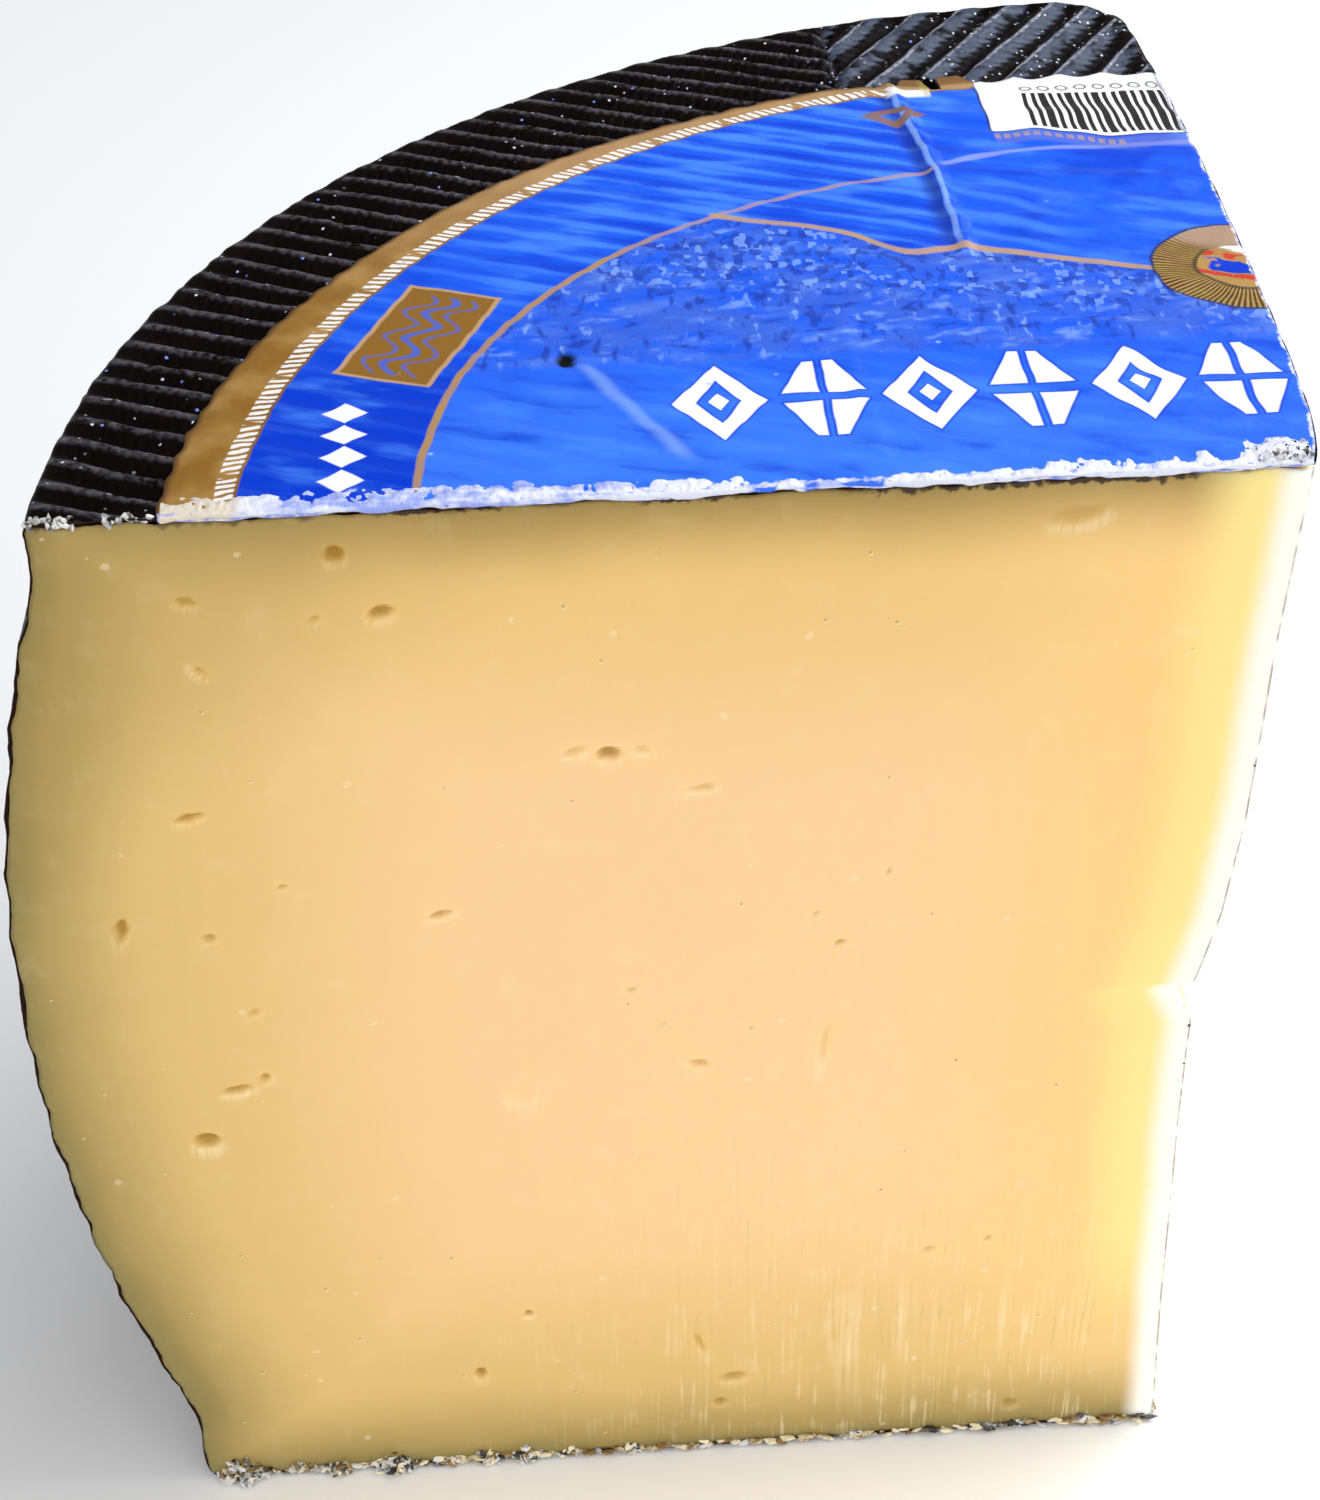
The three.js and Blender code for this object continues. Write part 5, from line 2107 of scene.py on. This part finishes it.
@dataclass
class Crumbs:
    """Torn bits of rind and paste along the feet of the cuts and at the two top corners.

    Attributes:
        wheel: sizes of the wheel.
        seed: pattern of the scatter.
        facets: how many flat sides are broken off each bit.
        apex_bits: how many bits lie on the top at the apex.
        edge_bits: heights of single bits on the apex edge.
    """

    wheel: Wheel
    seed: int = 17
    facets: int = 9
    apex_bits: int = 90
    edge_bits: Triple = (47.6, 52.0, 79.5)
    lumps: dict[CrumbKind, Patchwork] = field(default_factory=dict)

    def __post_init__(self) -> None:
        """Prepares the ball that all bits are made from."""
        self.rng = np.random.default_rng(self.seed)
        work = bmesh.new()
        bmesh.ops.create_icosphere(work, subdivisions=2, radius=1.0)
        self.ball = np.array([v.co[:] for v in work.verts])
        self.ball_faces = np.array([[v.index for v in f.verts] for f in work.faces])
        work.free()
        self.lumps = {kind: Patchwork() for kind in CrumbKind}

    def bit(
        self, kind: CrumbKind, place: Triple, size: float, flat: float, tone: float,
        lying: float | None = None,
    ) -> None:
        """Adds one broken bit.

        Args:
            kind: what it is made of.
            place: its middle.
            size: half its length.
            flat: its thickness as a share of its length.
            tone: how light it is, from 0 to 1.
            lying: heading in degrees of a bit that lies lengthways, or None for any pose.
        """
        rng = self.rng
        ball = self.ball.copy()
        for _ in range(self.facets):
            normal = rng.normal(size=3)
            normal /= np.linalg.norm(normal)
            over = np.clip(ball @ normal - rng.uniform(0.35, 0.8), 0, None)
            ball = ball - over[:, None] * normal
        ball = ball * np.array([1.0, rng.uniform(0.35, 0.8), flat])
        turn, _ = np.linalg.qr(rng.normal(size=(3, 3)))
        if lying is not None:
            c, s = math.cos(math.radians(lying)), math.sin(math.radians(lying))
            near = np.array([[c, s, 0.0], [-s, c, 0.0], [0.0, 0.0, 1.0]])
            turn, _ = np.linalg.qr((near + 0.25 * turn).T)
            turn = turn.T
        points = ball @ turn * size + np.array(place)
        points[:, 2] = np.clip(points[:, 2], 0.02, None)
        work = self.lumps[kind]
        first = work.count
        work.add(points, tone=tone)
        work.faces.append(self.ball_faces + first)

    def heap(self, heap: Heap) -> None:
        """Piles up the bits of one heap, low and wide in front and high against the cut.

        Args:
            heap: where it lies and how large it is.
        """
        rng = self.rng
        for _ in range(heap.count):
            side = rng.triangular(-1, 0, 1)
            room = 1 - side**2
            lean = rng.uniform(0, 1)
            size = 0.18 + 0.62 * rng.uniform(0, 1) ** 2
            x = heap.x + side * heap.wide / 2
            y = -heap.out * room * (1 - lean) * rng.uniform(0.3, 1.0) + 0.1
            z = size * 0.4 + heap.high * room * lean * rng.uniform(0.3, 1.0)
            kind = CrumbKind.RIND if rng.random() < heap.rind else CrumbKind.PASTE
            self.bit(kind, (x, y, z), size, rng.uniform(0.15, 0.5), rng.choice([0.0, 0.4, 0.8, 1.0, 1.0]))

    def foot(self, first_cut: bool) -> None:
        """Scatters small bits along the foot of a cut.

        Args:
            first_cut: the first cut, or else the second.
        """
        w, rng = self.wheel, self.rng
        length = float(w.barrel(w.chamfer))
        run = 0.6
        while run < length - 0.8:
            size = rng.uniform(0.25, 0.95)
            kind = CrumbKind.RIND if rng.random() < 0.2 else CrumbKind.PASTE
            out = rng.uniform(0.0, 0.25)
            if first_cut:
                x, y, heading = -run, -out, 0.0
            else:
                x, y = (float(v) for v in w.from_cut(run, w.second_cut(run, 0.3) + out))
                heading = math.degrees(math.atan2(*w.cut_along[::-1]))
            high = 0.15 + 0.6 * rng.uniform(0, 1)
            self.bit(kind, (x, y, high), size, rng.uniform(0.2, 0.4), rng.uniform(0, 1), heading)
            run += rng.uniform(0.2, 0.75)

    def corners(self) -> None:
        """Adds the bits at the two top corners of the first cut and on the apex edge."""
        h, rng = self.wheel.height, self.rng
        for middle, out, count, size in RIM_BITS:
            for _ in range(count):
                x = middle + rng.uniform(-0.9, 0.9)
                y = 0.2 + rng.uniform(-out, out) * 0.5
                place = (x, y, h + rng.uniform(-0.5, 0.1))
                length = size * rng.uniform(0.5, 1.0)
                self.bit(CrumbKind.RIND, place, length, 0.5, rng.choice([0.4, 0.6, 0.8]))
        for _ in range(self.apex_bits):
            place = (rng.uniform(-3.0, 0.5), rng.uniform(-0.1, 2.0), h + rng.uniform(0.0, 0.7))
            tones = (0.1, 0.3, 0.5, 0.9) if place[0] > -1.5 else (0.3, 1.0, 1.0, 1.0)
            self.bit(CrumbKind.RIND, place, rng.uniform(0.14, 0.36), 0.7, rng.choice(tones))
        for z in self.edge_bits:
            place = (float(self.wheel.apex_out(z)) - 0.15, 0.0, z)
            self.bit(CrumbKind.RIND, place, 0.2, 0.8, 0.1)

    def build(self) -> list[Object]:
        """Builds all crumbs.

        Returns:
            One piece for each kind.
        """
        self.foot(True)
        self.foot(False)
        for heap in HEAPS:
            self.heap(heap)
        self.corners()
        return [
            work.build(kind.value.name, kind.value.material(), False) for kind, work in self.lumps.items()
        ]


@dataclass
class Studio:
    """Floor, lights and camera.

    Attributes:
        place: the camera in the shared frame, in metres.
        yaw: turn of the view to the right of +Y, in radians.
        pitch: tilt of the view below the horizon, in radians.
        roll: turn about the line of sight, in radians.
        lens: focal length for a picture 36 mm high.
        sky_front: strength of the surround behind the camera.
        sky_back: strength of the surround beyond the cheese.
        floor_size: width of the floor, in metres.
        floor_drop: how far it lies below the wheel's foot, in metres.
    """

    place: Triple = (-0.00720, -0.19960, 0.19957)
    yaw: float = 0.0491
    pitch: float = 0.6462
    roll: float = -0.0225
    lens: float = 60.48
    sky_front: float = 1.14
    sky_back: float = 0.20
    floor_size: float = 5.0
    floor_drop: float = 0.0002

    def camera(self) -> None:
        """Places the camera where the photo was taken from."""
        data = bpy.data.cameras.new("camera")
        data.sensor_fit = "VERTICAL"
        data.sensor_height = 36.0
        data.lens = self.lens
        data.clip_start, data.clip_end = 0.005, 20.0
        c, s = math.cos, math.sin
        ahead = Vector((s(self.yaw) * c(self.pitch), c(self.yaw) * c(self.pitch), -s(self.pitch)))
        right = Vector((c(self.yaw), -s(self.yaw), 0))
        up = right.cross(ahead)
        across = right * c(self.roll) + up * s(self.roll)
        upward = up * c(self.roll) - right * s(self.roll)
        turned = Matrix((across, upward, -ahead)).transposed().to_4x4()
        thing = put("camera", data)
        thing.matrix_world = Matrix.Translation(self.place) @ turned
        bpy.context.scene.camera = thing

    def lamp(
        self, name: str, place: Triple, aim: Triple,
        size: Pair, power: float, tint: str = WHITE,
    ) -> Object:
        """Adds a soft rectangular lamp.

        Args:
            name: name of the lamp.
            place: where it stands, in metres.
            aim: what it points at, in metres.
            size: width and height in metres.
            power: power in watts.
            tint: colour of its light.

        Returns:
            The lamp.
        """
        data = bpy.data.lights.new(name, "AREA")
        data.shape = "RECTANGLE"
        data.size, data.size_y = size
        data.energy = power
        data.color = colour(tint)[:3]
        thing = put(name, data)
        thing.location = place
        thing.rotation_euler = (Vector(aim) - Vector(place)).to_track_quat("-Z", "Y").to_euler()
        return thing

    def world(self) -> None:
        """Makes a soft white surround that is bright behind the camera and dim beyond the cheese."""
        world = bpy.data.worlds.new("studio")
        world.use_nodes = True
        tree = world.node_tree
        coordinates = tree.nodes.new("ShaderNodeTexCoord")
        apart = tree.nodes.new("ShaderNodeSeparateXYZ")
        fade = tree.nodes.new("ShaderNodeMapRange")
        fade.interpolation_type = "SMOOTHSTEP"
        ends = {"From Min": -0.6, "From Max": 0.4, "To Min": self.sky_front, "To Max": self.sky_back}
        for label, end in ends.items():
            fade.inputs[label].default_value = end
        tree.links.new(coordinates.outputs["Generated"], apart.inputs[0])
        tree.links.new(apart.outputs[1], fade.inputs["Value"])
        back = tree.nodes["Background"]
        back.inputs["Color"].default_value = colour(WHITE)
        tree.links.new(fade.outputs[0], back.inputs["Strength"])
        bpy.context.scene.world = world

    def build(self) -> None:
        """Builds the stage."""
        mesh = bpy.data.meshes.new("floor")
        half = self.floor_size / 2
        corners = [(-half, -half, 0), (half, -half, 0), (half, half, 0), (-half, half, 0)]
        mesh.from_pydata(corners, [], [(0, 1, 2, 3)])
        mesh.materials.append(FloorFinish().material())
        floor = put("floor", mesh)
        floor.location.z = -self.floor_drop
        self.world()
        target = (0.0, 0.0, 0.09)
        lamps = [
            self.lamp("lamp_side", (0.30, 0.06, 0.45), (0.02, 0.0, 0.09), (0.30, 0.30), 1.5),
            self.lamp("lamp_back", (0.63, 0.69, 0.80), target, (0.5, 0.4), 3.2, "dfe8ff"),
        ]
        self.camera()
        bpy.context.scene.view_settings.view_transform = "Standard"


def main() -> None:
    """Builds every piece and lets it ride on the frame."""
    logging.basicConfig(level=logging.INFO, format="%(name)s: %(message)s")
    wheel = Wheel()
    paste = PasteBody(wheel).build()
    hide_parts("cheese")
    coats = RindCoat(wheel).build()
    for coat in coats:
        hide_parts("cheese")
    printed = PrintedFilm(wheel)
    film, fringe = printed.build(), printed.fringe()
    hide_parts("film")
    crumbs = Crumbs(wheel).build()
    for piece in (paste, *coats, film, fringe, *crumbs):
        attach(piece, "root")
        corners = [[round(c / METRES, 2) for c in end] for end in (piece.bound_box[0], piece.bound_box[6])]
        log.info("%s: %d faces, from %s to %s mm", piece.name, len(piece.data.polygons), *corners)
    Studio().build()


if __name__ == "__main__":
    main()
